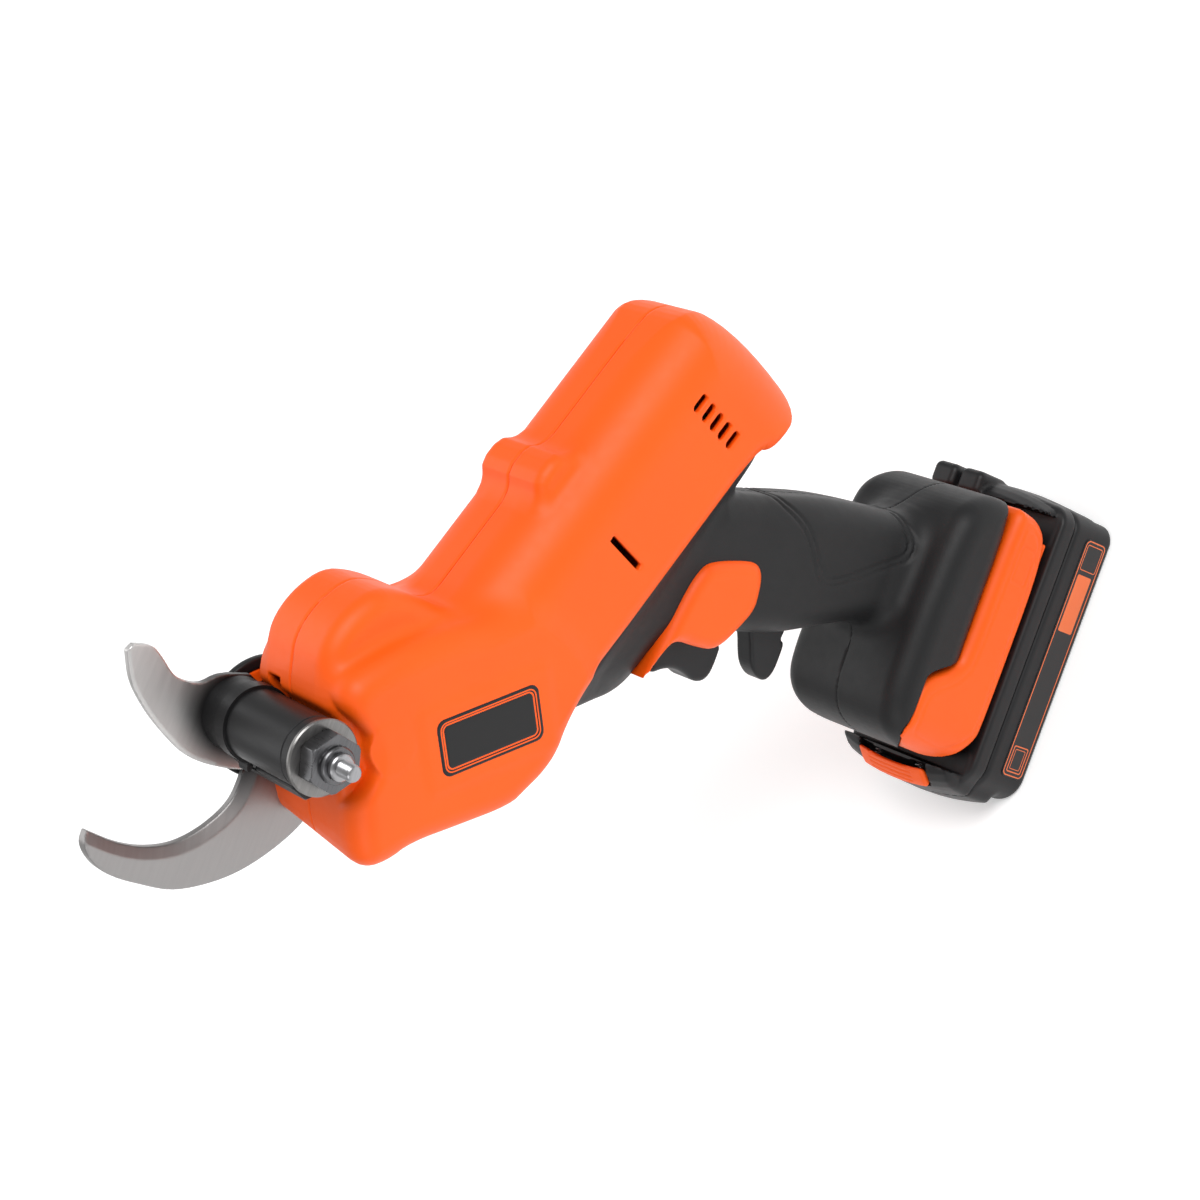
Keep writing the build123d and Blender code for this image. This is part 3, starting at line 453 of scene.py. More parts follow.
def barrel_body(along, across, over):
    """The orange barrel with its head, hump and scoops, before it is split and hollowed."""
    barrel = np.maximum(rounded(barrel_flat(along, over), across, BARREL_HALF_WIDTH, 8.0),
                        rounded(barrel_tall(along, over), across, BARREL_HALF_WIDTH, 25.0))
    lean = 0.1 * np.clip(24 - across, 0, 50) * np.clip((along - 228) / 20, 0, 1)
    head = rounded(head_flat(along + lean, over), across, HEAD_HALF_WIDTH, 10.0)
    lobe = rounded(lobe_flat(along + lean * 0.5, over), across, LOBE_HALF_WIDTH, 8.0)
    body = merge(merge(barrel, head, 8.0), lobe, 6.0)
    body = np.maximum(body, np.abs(across) - HEAD_HALF_WIDTH)
    hump = rounded(hump_flat(along, over), across, HUMP_HALF_WIDTH, 5.0)
    body = merge(body, hump, 3.5)
    u, v = badge_frame(along, over)
    panel = box_field((u, across, v), (0, 30, 0), (30, BADGE_TOP - 30 - 1.0, 18), 4.0)
    body = merge(body, panel, 3.0)
    around = np.hypot(along - PIVOT_ALONG, over - PIVOT_OVER)
    scoop = np.maximum(around - SCOOP_RADIUS, -across - 25.0)
    body = carve(body, scoop, 2.0)
    below = np.hypot(along - (PIVOT_ALONG - 1.8), over - (PIVOT_OVER - 10.5)) - 15.5
    pocket = np.maximum(merge(around - POCKET_RADIUS, below, 4.0), 27.0 - across)
    body = carve(body, pocket, 5.0)
    boss = np.hypot(along - CROSS_ALONG, over - CROSS_OVER) - SHAFT_BOSS_RADIUS
    body = merge(body, np.maximum(boss, np.abs(across) - CROSS_END - 2.2), 4.0)
    saddle = np.maximum(around - SADDLE_SPACE, np.abs(across + 2) - 23.0)
    saddle = np.maximum(saddle, over - (PIVOT_OVER - 9.0))
    body = carve(body, saddle, 1.5)
    disc = np.hypot(along - (PIVOT_ALONG - 7.5), over - (PIVOT_OVER - 17.5))
    corner = np.hypot(along - (PIVOT_ALONG - 11), over - (PIVOT_OVER + 10)) - 23.0
    notch = np.maximum(merge(np.minimum(around - NOTCH_RADIUS, disc - 24.2), corner, 4.0), across + 24.2)
    return carve(body, notch, 1.0)


def barrel_field(along, across, over):
    """The hollow orange shell with its slots and vents."""
    body = barrel_body(along, across, over)
    shell = np.maximum(body, -(body + WALL))
    around = np.hypot(along - PIVOT_ALONG, over - PIVOT_OVER)
    teeth = np.maximum(around - 18.6, np.abs(across + 11.0) - 4.0)
    shell = np.maximum(shell, -teeth)
    slot = box_field((along, across, over), (SLOT_ALONG, 34, SLOT_OVER), (1.3, 8, SLOT_HALF_LENGTH), 0.4)
    shell = np.maximum(shell, -slot)
    row = over - VENT_OVER - VENT_PITCH * np.clip(np.round((over - VENT_OVER) / VENT_PITCH), -2, 2)
    vents = np.hypot(np.maximum(np.abs(along - VENT_ALONG) - 2.4, 0), row) - 1.55
    return np.maximum(shell, -np.maximum(vents, 22 - np.abs(across)))


SEAM_OVERLAP = 0.6


def two_halves(piece, node, whole, low, high, step, gap, soft, look, place=same):
    """The left and right half of a hollow piece, parted at the middle, with a broken or sharp seam."""
    for side, hand in ((1, "left"), (-1, "right")):
        def field(u, across, w, side=side):
            cut = gap - side * across
            if not soft:
                return np.maximum(whole(u, across, w), cut)
            return -merge(-whole(u, across, w), -cut, soft)
        start = (low[0], -SEAM_OVERLAP if side > 0 else low[1], low[2])
        end = (high[0], high[1] if side > 0 else SEAM_OVERLAP, high[2])
        obj = moulded(f"{piece}_{hand}", field, start, end, step, place)
        dress(obj, "housing", *look, f"{node}_{hand}")


two_halves("barrel_half", "barrel_shell", barrel_field, (4, -40, 178), (268, 40, 300), 0.9, 0.12, 0.8,
           ("orange_shell", ORANGE), from_barrel)

# ---- badge
def badge_field(along, across, over):
    """The blank badge: a plate with a raised border line."""
    u, v = badge_frame(along, over)
    plan = np.hypot(np.maximum(np.abs(u) - 18.9, 0), np.maximum(np.abs(v) - 7.5, 0)) - 3.9
    plate = rounded(plan, across - (BADGE_TOP - 1.6), 1.6, 0.5)
    edge = np.maximum(np.abs(u) - 20.3, np.abs(v) - 8.9)
    corner = np.hypot(np.maximum(np.abs(u) - 17.8, 0), np.maximum(np.abs(v) - 6.4, 0)) - 2.5
    return groove(plate, np.maximum(edge, corner) + 0.2, 0.45, 0.35)


reach = 31
badge = moulded("badge_blank", badge_field, (BADGE_ALONG - reach, BADGE_TOP - 4, BADGE_OVER - reach),
                (BADGE_ALONG + reach, BADGE_TOP + 1, BADGE_OVER + reach), 0.5, from_barrel)
dress(badge, "housing", "badge", BADGE, "badge_plate")

# ---- keel, grip and foot
STEM_Z = 179
GRIP_HALF_WIDTH, FOOT_HALF_WIDTH, KEEL_HALF_WIDTH, CHEEK_HALF_WIDTH = 18.0, 36.6, 27.5, 21.6
TRIGGER_HALF_WIDTH, LEVER_HALF_WIDTH, BAND_HALF_WIDTH = 8.0, 5.0, 37.9
LEVER_PIN_X, _, LEVER_PIN_Z = [value / MM for value in JOINTS["lever_press"]["pos_m"]]
GRIP_SIDE = [
    (-17, 205), (-19, 180), (-25, 158), (-30, 138), (-33, 118), (-35, 98), (-40, 84), (-30, 76),
    (10, 76), (11, 92), (14, 104), (19, 117), (23.5, 128), (28.5, 141), (32, 155), (35, 172), (41, 180),
    (45, 198), (66, 208), (76, 226), (66, 240),
]
FOOT_SIDE = [
    (-55.5, 57), (-56, 66), (-53.5, 74.5), (-47.5, 83), (-38.5, 87), (-8, 89), (14, 89), (34, 88.8),
    (43, 86.5), (49.5, 81.5), (53.6, 74), (55.5, 64), (55.2, 57), (40, 55), (10, 57),
]
KEEL_TOP = 199.3
KEEL_SIDE = [
    (33, 190), (38, 183.8), (60, 180), (90, 175), (108, 169.5), (124, 165.5), (133, 165), (142, 170),
    (152, 181), (163, 193), (168, KEEL_TOP), (33, KEEL_TOP),
]
PANEL_SIDE = [
    (-45, 176), (-23, 168), (-17, 155), (-9, 145), (-2, 139), (3, 131), (-4, 117), (-13, 103),
    (-18, 94), (-26, 93), (-32, 98), (-50, 108),
]
grip_flat = outline_distance(GRIP_SIDE)
foot_flat = outline_distance(FOOT_SIDE)
keel_flat = outline_distance(KEEL_SIDE)
panel_flat = outline_distance(PANEL_SIDE)


def foot_body(x, y, z):
    """The black foot. Its lower edge climbs at the front corners."""
    climb = np.clip((x - 9) / 15, 0, 1)
    climb = climb * climb * (3 - 2 * climb) * np.clip((np.abs(y) - 16) / 18, 0, 1)
    return np.maximum(rounded(foot_flat(x, z), y, FOOT_HALF_WIDTH, 11.0), (57.0 + 19.5 * climb - z) * 0.75)


def handle_body(x, y, z):
    """Keel, grip and foot as one soft body."""
    swell = 1.5 * np.exp(-(((z - 150) / 25) ** 2))
    grip = rounded(grip_flat(x, z), y, GRIP_HALF_WIDTH + swell, 13.0)
    body = merge(grip, foot_body(x, y, z), 12.0)
    along, over = to_barrel(x, z)
    keel = rounded(keel_flat(along, over), y, KEEL_HALF_WIDTH, 4.0)
    slope = 0.95 - 0.35 * np.clip((along - 60) / 50, 0, 1)
    flare = (np.abs(y) - 27.0 + slope * (KEEL_TOP - over)) * 0.8
    keel = -merge(-keel, -flare, 4.0)
    body = merge(body, keel, 5.0)
    line = np.abs(panel_flat(x, z)) - 1.3
    fade = np.clip((z - 84) / 8, 0, 1) * np.clip((184 - z) / 8, 0, 1)
    return groove(body, line, 0.65, 0.55 * fade)


def handle_field(x, y, z):
    """The hollow handle, cut off under the barrel and open at the trigger."""
    body = handle_body(x, y, z)
    body = np.maximum(body, to_barrel(x, z)[1] - KEEL_TOP)
    shell = np.maximum(body, -(body + WALL))
    window = box_field((x, y, z), (45, 0, STEM_Z), (15, 8.6, 18), 1.0)
    lever = box_field((x, y, z), (24, 0, 140), (14, 5.6, 13.5), 1.0)
    return np.maximum(shell, -np.minimum(window, lever))


two_halves("handle_half", "handle_shell", handle_field, (-64, -39, 52), (84, 39, 246), 0.9, 0.01, 0,
           ("black_shell", RUBBER))

BEZEL_SIDE = [
    (13, 197), (9.5, 192), (5.5, 180), (3.5, 171), (7, 166), (13, 164), (22, 162.7), (30, 166.5),
    (42.5, 174.5), (43.7, 184), (43.7, 196), (50, 200.5), (62.5, 204), (61.5, 204.6), (46.6, 203.4),
    (24, 200.8),
]
bezel_flat = outline_distance(BEZEL_SIDE)


def bezel_field(x, y, z):
    """The orange cheeks beside the trigger, wrapping over the grip's front."""
    body = rounded(bezel_flat(x, z), y, CHEEK_HALF_WIDTH, 6.0)
    inner = rounded(grip_flat(x, z) + 1.0, y, 17.0, 14.0)
    window = box_field((x, y, z), (46, 0, STEM_Z), (16, 8.6, 18), 1.0)
    return np.maximum(np.maximum(body, -inner), -window)


two_halves("bezel_half", "bezel", bezel_field, (0, -24, 158), (68, 24, 212), 0.7, 0.1, 0.6,
           ("orange_shell", ORANGE_TRIM))

# ---- trigger and lever
TRIGGER_SIDE = [
    (36, 163), (50, 162.4), (55.5, 164.5), (57.3, 169.5), (55.5, 175), (54.8, 181), (56, 187),
    (60, 193), (55, 196), (36, 196),
]
LEVER_SIDE = [
    (16.5, 150), (20, 153.5), (27, 152.5), (33, 147), (39, 144), (44, 141), (47.5, 136), (48, 131),
    (43.5, 128.3), (37, 128), (30.5, 128.2), (30, 131), (24.5, 130), (18, 139),
]
trigger_flat = outline_distance(TRIGGER_SIDE)
lever_flat = outline_distance(LEVER_SIDE)


def trigger_field(x, y, z):
    """The trigger, hollow behind, with its stem."""
    body = rounded(trigger_flat(x, z), y, TRIGGER_HALF_WIDTH, 2.5)
    pocket = box_field((x, y, z), (40, 0, STEM_Z), (12, 6.4, 14), 1.0)
    stem = np.maximum(np.hypot(y, z - STEM_Z) - 1.5, np.abs(x - 38.5) - 14.5)
    return np.minimum(np.maximum(body, -pocket), stem)


trigger = moulded("trigger_piece", trigger_field, (22, -10, 158), (63, 10, 200), 0.5)
dress(trigger, "trigger", "trigger_plastic", BLACK, "trigger")


def lever_field(x, y, z):
    """The safety paddle with its pin hole."""
    body = rounded(lever_flat(x, z), y, LEVER_HALF_WIDTH, 1.6)
    return np.maximum(body, 2.05 - np.hypot(x - LEVER_PIN_X, z - LEVER_PIN_Z))


lever = moulded("lever_piece", lever_field, (14, -6, 122), (50, 6, 157), 0.45)
dress(lever, "lock_lever", "trigger_plastic", BLACK, "lock_lever")


# ---- orange band
BAND_SIDE = [
    (-53, 44), (-54.5, 52), (-55, 58), (-40, 59), (8, 59), (16, 61), (23, 73), (29, 78.5), (45, 79),
    (52, 75), (54.4, 62), (55, 48), (50, 42), (42, 34.5), (34, 33.8), (10, 33.6), (-30, 33.8), (-47, 37),
]
band_flat = outline_distance(BAND_SIDE)


def band_field(x, y, z):
    """The orange band, open underneath and at the front for the pack."""
    body = rounded(band_flat(x, z), y, BAND_HALF_WIDTH, 6.0)
    corners = np.hypot(np.maximum(x - 39, 0), np.maximum(np.abs(y) - 21.9, 0)) - 16.0
    body = np.maximum(body, corners)
    inside = np.maximum(np.maximum(corners, np.abs(y) - BAND_HALF_WIDTH), -x - 54.0)
    cavity = np.maximum(inside + 3.4, z - 54.0)
    way = box_field((x, y, z), (50, 0, 40), (12, 28.0, 6.8), 0.5)
    body = np.maximum(body, -np.minimum(cavity, way))
    body = np.maximum(body, -(foot_body(x, y, z) - 0.1))
    rails = box_field((x, np.abs(y), z), (-3, 29.5, 38.2), (42, 5.6, 2.8), 0.6)
    body = np.minimum(body, rails)
    frame_line = rounded_rectangle(x + 33, z - 47, 7.5, 4.2, 1.2)
    body = groove(body, np.abs(frame_line) + np.maximum(0, 37.0 - y), 0.45, 0.3)
    edge = np.abs(rounded(band_flat(x, z) + 5.5, y, 60, 6.0)) + np.maximum(0, 36.0 - np.abs(y)) * 0.4
    return groove(body, edge, 0.8, 0.45)


band = moulded("foot_band", band_field, (-60, -39, 32), (60, 39, 85), 0.8)
dress(band, "housing", "orange_shell", ORANGE_TRIM, "foot_collar")


# ---- battery pack
PACK_HALF = 38.0
PACK_LENGTH_HALF = 62.5
PACK_BULGE = 0.0042
PACK_REAR_SHIFT = 3.6
WALL_SIDE = [(52, 9), (69.2, 9), (70, 16), (69, 30), (67.6, 36.3), (62, 42.8), (56, 43.2), (52, 40)]
LATCH_SIDE = [(62.4, 43.3), (63.3, 43.0), (68.8, 36.9), (68.6, 34.8), (64.8, 34.8), (61.9, 40.8)]
LATCH_SPRING_Y, LATCH_SPRING_Z = 12.5, 37.6
LATCH_SPRING_SEAT, LATCH_SPRING_FRONT = 58.0, 62.4
PACK_SCREW_X, PACK_SCREW_Y = (-53, 55), 29
wall_flat = outline_distance(WALL_SIDE, 1)
latch_flat = outline_distance(LATCH_SIDE, 1)


def pack_plan(x, y, length, width, corner):
    """The distance to the pack's outline seen from above."""
    return rounded_rectangle(x, y, length, width, np.where(x > 0, corner + 4, corner))


def slab_field(plan, z, low, high, edge):
    """A plan shape between two heights, with round edges."""
    side = np.abs(z - (low + high) / 2) - ((high - low) / 2 - edge)
    return round_corner(plan + edge, side) - edge


def end_wall(x, y, z, side):
    """A bulging wall across the front or the rear of the pack, chamfered at its top."""
    reach = side * x + PACK_BULGE * y * y
    return rounded(wall_flat(reach, z), y, 33.5, 3.0)


def case_field(x, y, z, low, high, edge):
    """One case of the pack, with bulging ends."""
    body = slab_field(pack_plan(x, y, PACK_LENGTH_HALF, PACK_HALF, 8.0), z, low, high, edge)
    front = np.maximum(end_wall(x, y, z, 1), np.maximum(low - z, z - high))
    rear = np.maximum(end_wall(x - PACK_REAR_SHIFT, y, z, -1), np.maximum(low - z, z - high))
    return merge(body, np.minimum(front, rear), 3.0)


def bottom_field(x, y, z):
    """The lower tray, with its screw posts."""
    body = case_field(x, y, z, 0.0, 24.3, 2.2)
    inner = slab_field(pack_plan(x, y, 59.4, PACK_HALF - 2.6, 5.5), z, 2.6, 40, 1.0)
    bores = [np.hypot(x - start, np.abs(y) - PACK_SCREW_Y) for start in PACK_SCREW_X]
    for bore in bores:
        inner = np.maximum(inner, 3.2 - bore)
    body = np.maximum(body, -inner)
    for bore in bores:
        body = np.maximum(body, 1.3 - bore)
        body = np.maximum(body, -np.maximum(bore - 2.8, z - 2.1))
    return body


bottom = moulded("pack_lower_case", bottom_field, (-69, -40, -1), (71, 40, 26), 0.9)
dress(bottom, "battery", "pack_plastic", PACK, "battery_bottom_case")


def top_field(x, y, z):
    """The upper case with its rails, slots, end walls and the seats of the latch springs."""
    lid = case_field(x, y, z, 24.5, 33.0, 2.0)
    inner = slab_field(pack_plan(x, y, 59.4, PACK_HALF - 2.6, 5.5), z, 10, 30.6, 1.0)
    lid = np.maximum(lid, -inner)
    neck = box_field((x, y, z), (1.0, 0, 35.5), (51.0, 23, 7.5), 0.8)
    rail = box_field((x, y, z), (1.0, 0, 43.5), (51.0, 27, 2.5), 0.8)
    tower = np.minimum(neck, rail)
    tower = np.maximum(tower, -box_field((x, y, z), (3.2, 0, 32), (50.8, 20.6, 4.0), 0.5))
    walls = np.minimum(end_wall(x, y, z, 1), end_wall(x - PACK_REAR_SHIFT, y, z, -1))
    walls = np.maximum(walls, np.maximum(24.5 - z, 57.5 - np.abs(x)))
    for middle, half, top in ((-26.5, 6.8, 45.5), (-11.0, 6.6, 45.0)):
        bump = box_field((x, y, z), (-61.5, middle, top - 9), (5.4, half, 9), 3.0)
        walls = merge(walls, bump, 1.5)
    body = np.minimum(np.minimum(lid, tower), walls)
    slots = box_field((x, np.abs(y) - 8, z), (-19.5, 0, 45), (31.5, 2.3, 7.6), 0.4)
    pocket = rounded(latch_flat(x + PACK_BULGE * y * y, z) - 0.35, y, 20.4, 0.5)
    behind = rounded(latch_flat(x + 2.6 + PACK_BULGE * y * y, z) - 0.35, y, 20.4, 0.5)
    seats = np.hypot(np.abs(y) - LATCH_SPRING_Y, z - LATCH_SPRING_Z) - 2.2
    seats = np.maximum(seats, LATCH_SPRING_SEAT - x)
    return np.maximum(np.maximum(body, -slots), -np.minimum(np.minimum(pocket, behind), seats))


top = moulded("pack_upper_case", top_field, (-69, -40, 23), (71, 40, 48), 0.9)
dress(top, "battery", "pack_plastic", PACK, "battery_top_case")


def latch_field(x, y, z):
    """The orange latch bar with grip ribs."""
    body = rounded(latch_flat(x + PACK_BULGE * y * y, z), y, 19.8, 1.4)
    ribs = 0.3 * np.clip(np.cos((z - x) * 2 * np.pi / 3.2), 0, 1) * (np.abs(y) < 13) * (z + x > 104.5)
    return body + ribs


latch = moulded("latch_bar", latch_field, (55, -21, 33), (70, 21, 46), 0.4)
dress(latch, "latch", "latch_plastic", ORANGE_TRIM, "battery_latch")


def coil(name, start, end, radius, wire, turns):
    """A small coil spring along X, from one point to another."""
    rings, around = turns * 20, 8
    points, faces = [], []
    for index in range(rings + 1):
        share = index / rings
        turn = 2 * math.pi * turns * share
        centre = Vector((start[0] + (end[0] - start[0]) * share, start[1] + radius * math.cos(turn),
                         start[2] + radius * math.sin(turn)))
        outward = Vector((0, math.cos(turn), math.sin(turn)))
        for step in range(around):
            angle = 2 * math.pi * step / around
            points.append(centre + wire * (outward * math.cos(angle) + Vector((math.sin(angle), 0, 0))))
    for index in range(rings):
        for step in range(around):
            beside = (step + 1) % around
            faces.append([index * around + step, index * around + beside,
                          (index + 1) * around + beside, (index + 1) * around + step])
    faces.append(list(range(around)))
    faces.append([rings * around + step for step in reversed(range(around))])
    return make_object(name, points, faces)


for count, place in enumerate((-LATCH_SPRING_Y, LATCH_SPRING_Y)):
    seat = (LATCH_SPRING_SEAT + 0.1, place, LATCH_SPRING_Z)
    front = (LATCH_SPRING_FRONT, place, LATCH_SPRING_Z)
    spring = coil(f"latch_spring_{count + 1}", seat, front, 1.6, 0.22, 3)
    dress(spring, "battery", "spring_steel", SPRING, "latch_springs")
    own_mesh(spring)

spring_low, spring_high = node_box("trigger_spring")
TRIGGER_TRAVEL, TRIGGER_SPRING_WIRE = 6.0, 0.4
spring_middle = (spring_low[2] + spring_high[2]) / 2
spring_rear = (spring_low[0] + TRIGGER_SPRING_WIRE, 0, spring_middle)
spring_front = (spring_high[0] - TRIGGER_SPRING_WIRE, 0, spring_middle)
spring_radius = (spring_high[1] - spring_low[1]) / 2 - TRIGGER_SPRING_WIRE
trigger_coil = coil("trigger_return_spring", spring_rear, spring_front, spring_radius,
                    TRIGGER_SPRING_WIRE, 7)
dress(trigger_coil, "trigger", "spring_steel", SPRING, "trigger_spring")
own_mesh(trigger_coil)

label_low, label_high = node_box("battery_label")


LABEL_X, LABEL_Z = (label_low[0] + label_high[0]) / 2, (label_low[2] + label_high[2]) / 2
LABEL_U, LABEL_V = (label_high[0] - label_low[0]) / 2, (label_high[2] - label_low[2]) / 2


def label_field(x, y, z):
    """The blank film of the label."""
    plan = rounded_rectangle(x - LABEL_X, z - LABEL_Z, LABEL_U, LABEL_V, 2.5)
    return np.maximum(plan, np.abs(y - label_high[1] + 0.2) - 0.2)


film = moulded("label_film", label_field, label_low - 1, label_high + 1, 0.4)
dress(film, "battery", "label", LABEL, "battery_label")


def rounded_loop(centre, half_u, half_v, corner, turn=0.0, per_corner=7):
    """The points of a rounded rectangle, turned about its own centre."""
    points = []
    for index, (side_u, side_v) in enumerate(((1, 1), (-1, 1), (-1, -1), (1, -1))):
        for step in range(per_corner):
            angle = math.pi / 2 * (index + step / (per_corner - 1))
            u = side_u * (half_u - corner) + corner * math.cos(angle)
            v = side_v * (half_v - corner) + corner * math.sin(angle)
            points.append((centre[0] + u * math.cos(turn) - v * math.sin(turn),
                           centre[1] + u * math.sin(turn) + v * math.cos(turn)))
    return points


def printed(name, height, lines, blocks=()):
    """Thin printed marks on a face square to Y: closed lines of a given width, and plain blocks."""
    points, faces = [], []
    for centre, half_u, half_v, corner, width, turn in lines:
        outer = rounded_loop(centre, half_u, half_v, corner, turn)
        inner = rounded_loop(centre, half_u - width, half_v - width, max(corner - width, 0.1), turn)
        start, count = len(points), len(outer)
        points += [(x, height, z) for x, z in outer + inner]
        for index in range(count):
            after = (index + 1) % count
            faces.append([start + index, start + count + index, start + count + after, start + after])
    for centre, half_u, half_v, corner, turn in blocks:
        loop = rounded_loop(centre, half_u, half_v, corner, turn)
        faces.append(list(range(len(points) + len(loop) - 1, len(points) - 1, -1)))
        points += [(x, height, z) for x, z in loop]
    return make_object(name, points, faces, smooth=False)


LABEL_TOP = label_high[1] + 0.03
label_middle = (LABEL_X, LABEL_Z)
marks = printed(
    "label_marks", LABEL_TOP,
    [
        (label_middle, LABEL_U - 0.5, LABEL_V - 0.5, 2.3, 0.5, 0.0),
        ((LABEL_X - 45.2, LABEL_Z), 5.6, 5.0, 1.0, 0.35, 0.0),
        ((LABEL_X + 45.0, LABEL_Z), 5.8, 4.6, 1.0, 0.5, 0.0),
        ((LABEL_X + 45.0, LABEL_Z), 4.4, 3.2, 0.6, 0.3, 0.0),
    ],
    [((LABEL_X - 25.0, LABEL_Z + 0.2), 12.6, 4.4, 0.8, 0.0)],
)
dress(marks, "battery", "latch_plastic", LABEL_MARK)
badge_line = printed(
    "badge_line", BADGE_TOP + 0.03,
    [((BADGE_X, BADGE_Z), 21.4, 10.0, 3.2, 0.55, BADGE_LEAN + BARREL_TILT)],
)
dress(badge_line, "housing", "orange_shell", ORANGE_TRIM)


# ---- jaws
def curve_through(runs, steps=8):
    """A closed outline of smooth curves, one through each run of points."""
    ring = []
    for run in runs:
        points = np.array(run, float)
        before = 2 * points[0] - points[1]
        beyond = 2 * points[-1] - points[-2]
        chain = np.vstack([before, points, beyond])
        for a, b, c, d in zip(chain, chain[1:], chain[2:], chain[3:]):
            for share in np.linspace(0, 1, steps, endpoint=False):
                ring.append(0.5 * (2 * b + (c - a) * share + (2 * a - 5 * b + 4 * c - d) * share ** 2
                                   + (3 * b - a - 3 * c + d) * share ** 3))
    return ring


def line_distance(points):
    """A function giving the plain distance to an open line."""
    def distance(u, v):
        nearest = np.full(np.broadcast(u, v).shape, 1e9, np.float32)
        for (ax, ay), (bx, by) in zip(points, points[1:]):
            dx, dy = bx - ax, by - ay
            share = np.clip(((u - ax) * dx + (v - ay) * dy) / (dx * dx + dy * dy), 0, 1)
            nearest = np.minimum(nearest, (u - ax - share * dx) ** 2 + (v - ay - share * dy) ** 2)
        return np.sqrt(nearest)

    return distance


BLADE_RIM = [(112.2, 400.0), (122, 394), (129.4, 385.8), (136.3, 375), (142.5, 361.3), (143.5, 347.4),
             (141.5, 334.7), (136.4, 331.6)]
BLADE_ROOT = [(136.4, 331.6), (124, 332.5), (113, 337.5), (107.6, 347.4)]
BLADE_BACK = [(107.6, 347.4), (110.8, 359.1), (115.6, 366), (116.5, 372.3), (115.4, 378.5),
              (110.4, 385.9), (108, 391.2), (109.4, 399.4)]
HOOK_RIM = [(178.7, 387.3), (183.8, 386.6), (188.4, 382.2), (191.8, 374.6), (193.0, 361), (191.3, 341.4),
            (179.2, 319), (158.2, 301.2), (140, 297.4)]
HOOK_ROOT = [(140, 297.4), (130, 320), (141.1, 331.4)]
HOOK_EDGE = [(141.1, 331.4), (155, 332.3), (166.2, 338.9), (174.9, 348.7), (179.3, 360.1), (180.4, 372.7),
             (178.7, 387.3)]
blade_flat = outline_distance(curve_through([BLADE_RIM, BLADE_ROOT, BLADE_BACK]), 0)
blade_rim = line_distance(curve_through([BLADE_RIM[:6]]))
hook_flat = outline_distance(curve_through([HOOK_RIM, HOOK_ROOT, HOOK_EDGE]), 0)
hook_edge = line_distance(curve_through([HOOK_EDGE]))
blade_low, blade_high = node_box("cutting_blade")
hook_low, hook_high = node_box("counter_blade")
disc_low, disc_high = node_box("guard_ring")
DISC_X, DISC_Z = (disc_low[0] + disc_high[0]) / 2, (disc_low[2] + disc_high[2]) / 2
bolt_low, bolt_high = node_box("pivot_bolt")


def plate_field(flat, across, low, high, edge):
    """A flat plate with slightly broken edges."""
    return rounded(flat, across - (low + high) / 2, (high - low) / 2, edge)


def blade_field(x, y, z):
    """The swinging blade, ground to a bevel along its convex rim."""
    plate = plate_field(blade_flat(x, z), y, blade_low[1], blade_high[1], 0.3)
    drop = 0.25 * np.clip(1.2 - blade_rim(x, z), 0, None)
    plate = np.maximum(plate, (y - (blade_high[1] - drop)) * 0.92)
    return np.maximum(plate, 5.06 - np.hypot(x - PIVOT_X, z - PIVOT_Z))


blade = moulded("blade_plate", blade_field, blade_low - 1, blade_high + 1, 0.45)
dress(blade, "blade", "blade_steel", BLADE, "cutting_blade")


def hook_field(x, y, z):
    """The fixed hook with its inner bevel, root plate and eye."""
    hook = hook_flat(x, z)
    root = np.hypot(x - DISC_X - 3, z - DISC_Z + 5) - 20.0
    eye = np.hypot(x - PIVOT_X, z - PIVOT_Z) - 13.0
    flat = merge(merge(hook, root, 3.0), eye, 2.0)
    plate = plate_field(flat, y, hook_low[1], hook_high[1], 0.5)
    drop = 0.55 * np.clip(4.5 - hook_edge(x, z), 0, None)
    plate = np.maximum(plate, (y - (hook_high[1] - drop)) * 0.88)
    return np.maximum(plate, 5.02 - np.hypot(x - PIVOT_X, z - PIVOT_Z))


hook = moulded("hook_plate", hook_field, hook_low - 1, hook_high + 1, 0.55)
dress(hook, "housing", "blade_steel", HOOK, "counter_blade")


# ---- turned pieces
def turned(name, profile, centre=(PIVOT_X, PIVOT_Z), segments=128, solid=False):
    """A piece turned about a line along Y. The profile is a list of (across, radius)."""
    points, faces = [], []
    for across, radius in profile:
        for index in range(segments):
            angle = 2 * math.pi * index / segments
            u, v = radius * math.cos(angle), radius * math.sin(angle)
            points.append((centre[0] + u, across, centre[1] + v))
    rows = len(profile)
    for row in range(rows - 1 if solid else rows):
        after = (row + 1) % rows
        for index in range(segments):
            beside = (index + 1) % segments
            faces.append([row * segments + index, after * segments + index,
                          after * segments + beside, row * segments + beside])
    if solid:
        faces.append(list(range(segments)))
        faces.append([(rows - 1) * segments + index for index in reversed(range(segments))])
    obj = make_object(name, points, faces)
    obj.data.set_sharp_from_angle(angle=math.radians(35))
    clean = bmesh.new()
    clean.from_mesh(obj.data)
    bmesh.ops.recalc_face_normals(clean, faces=clean.faces)
    clean.to_mesh(obj.data)
    clean.free()
    return obj


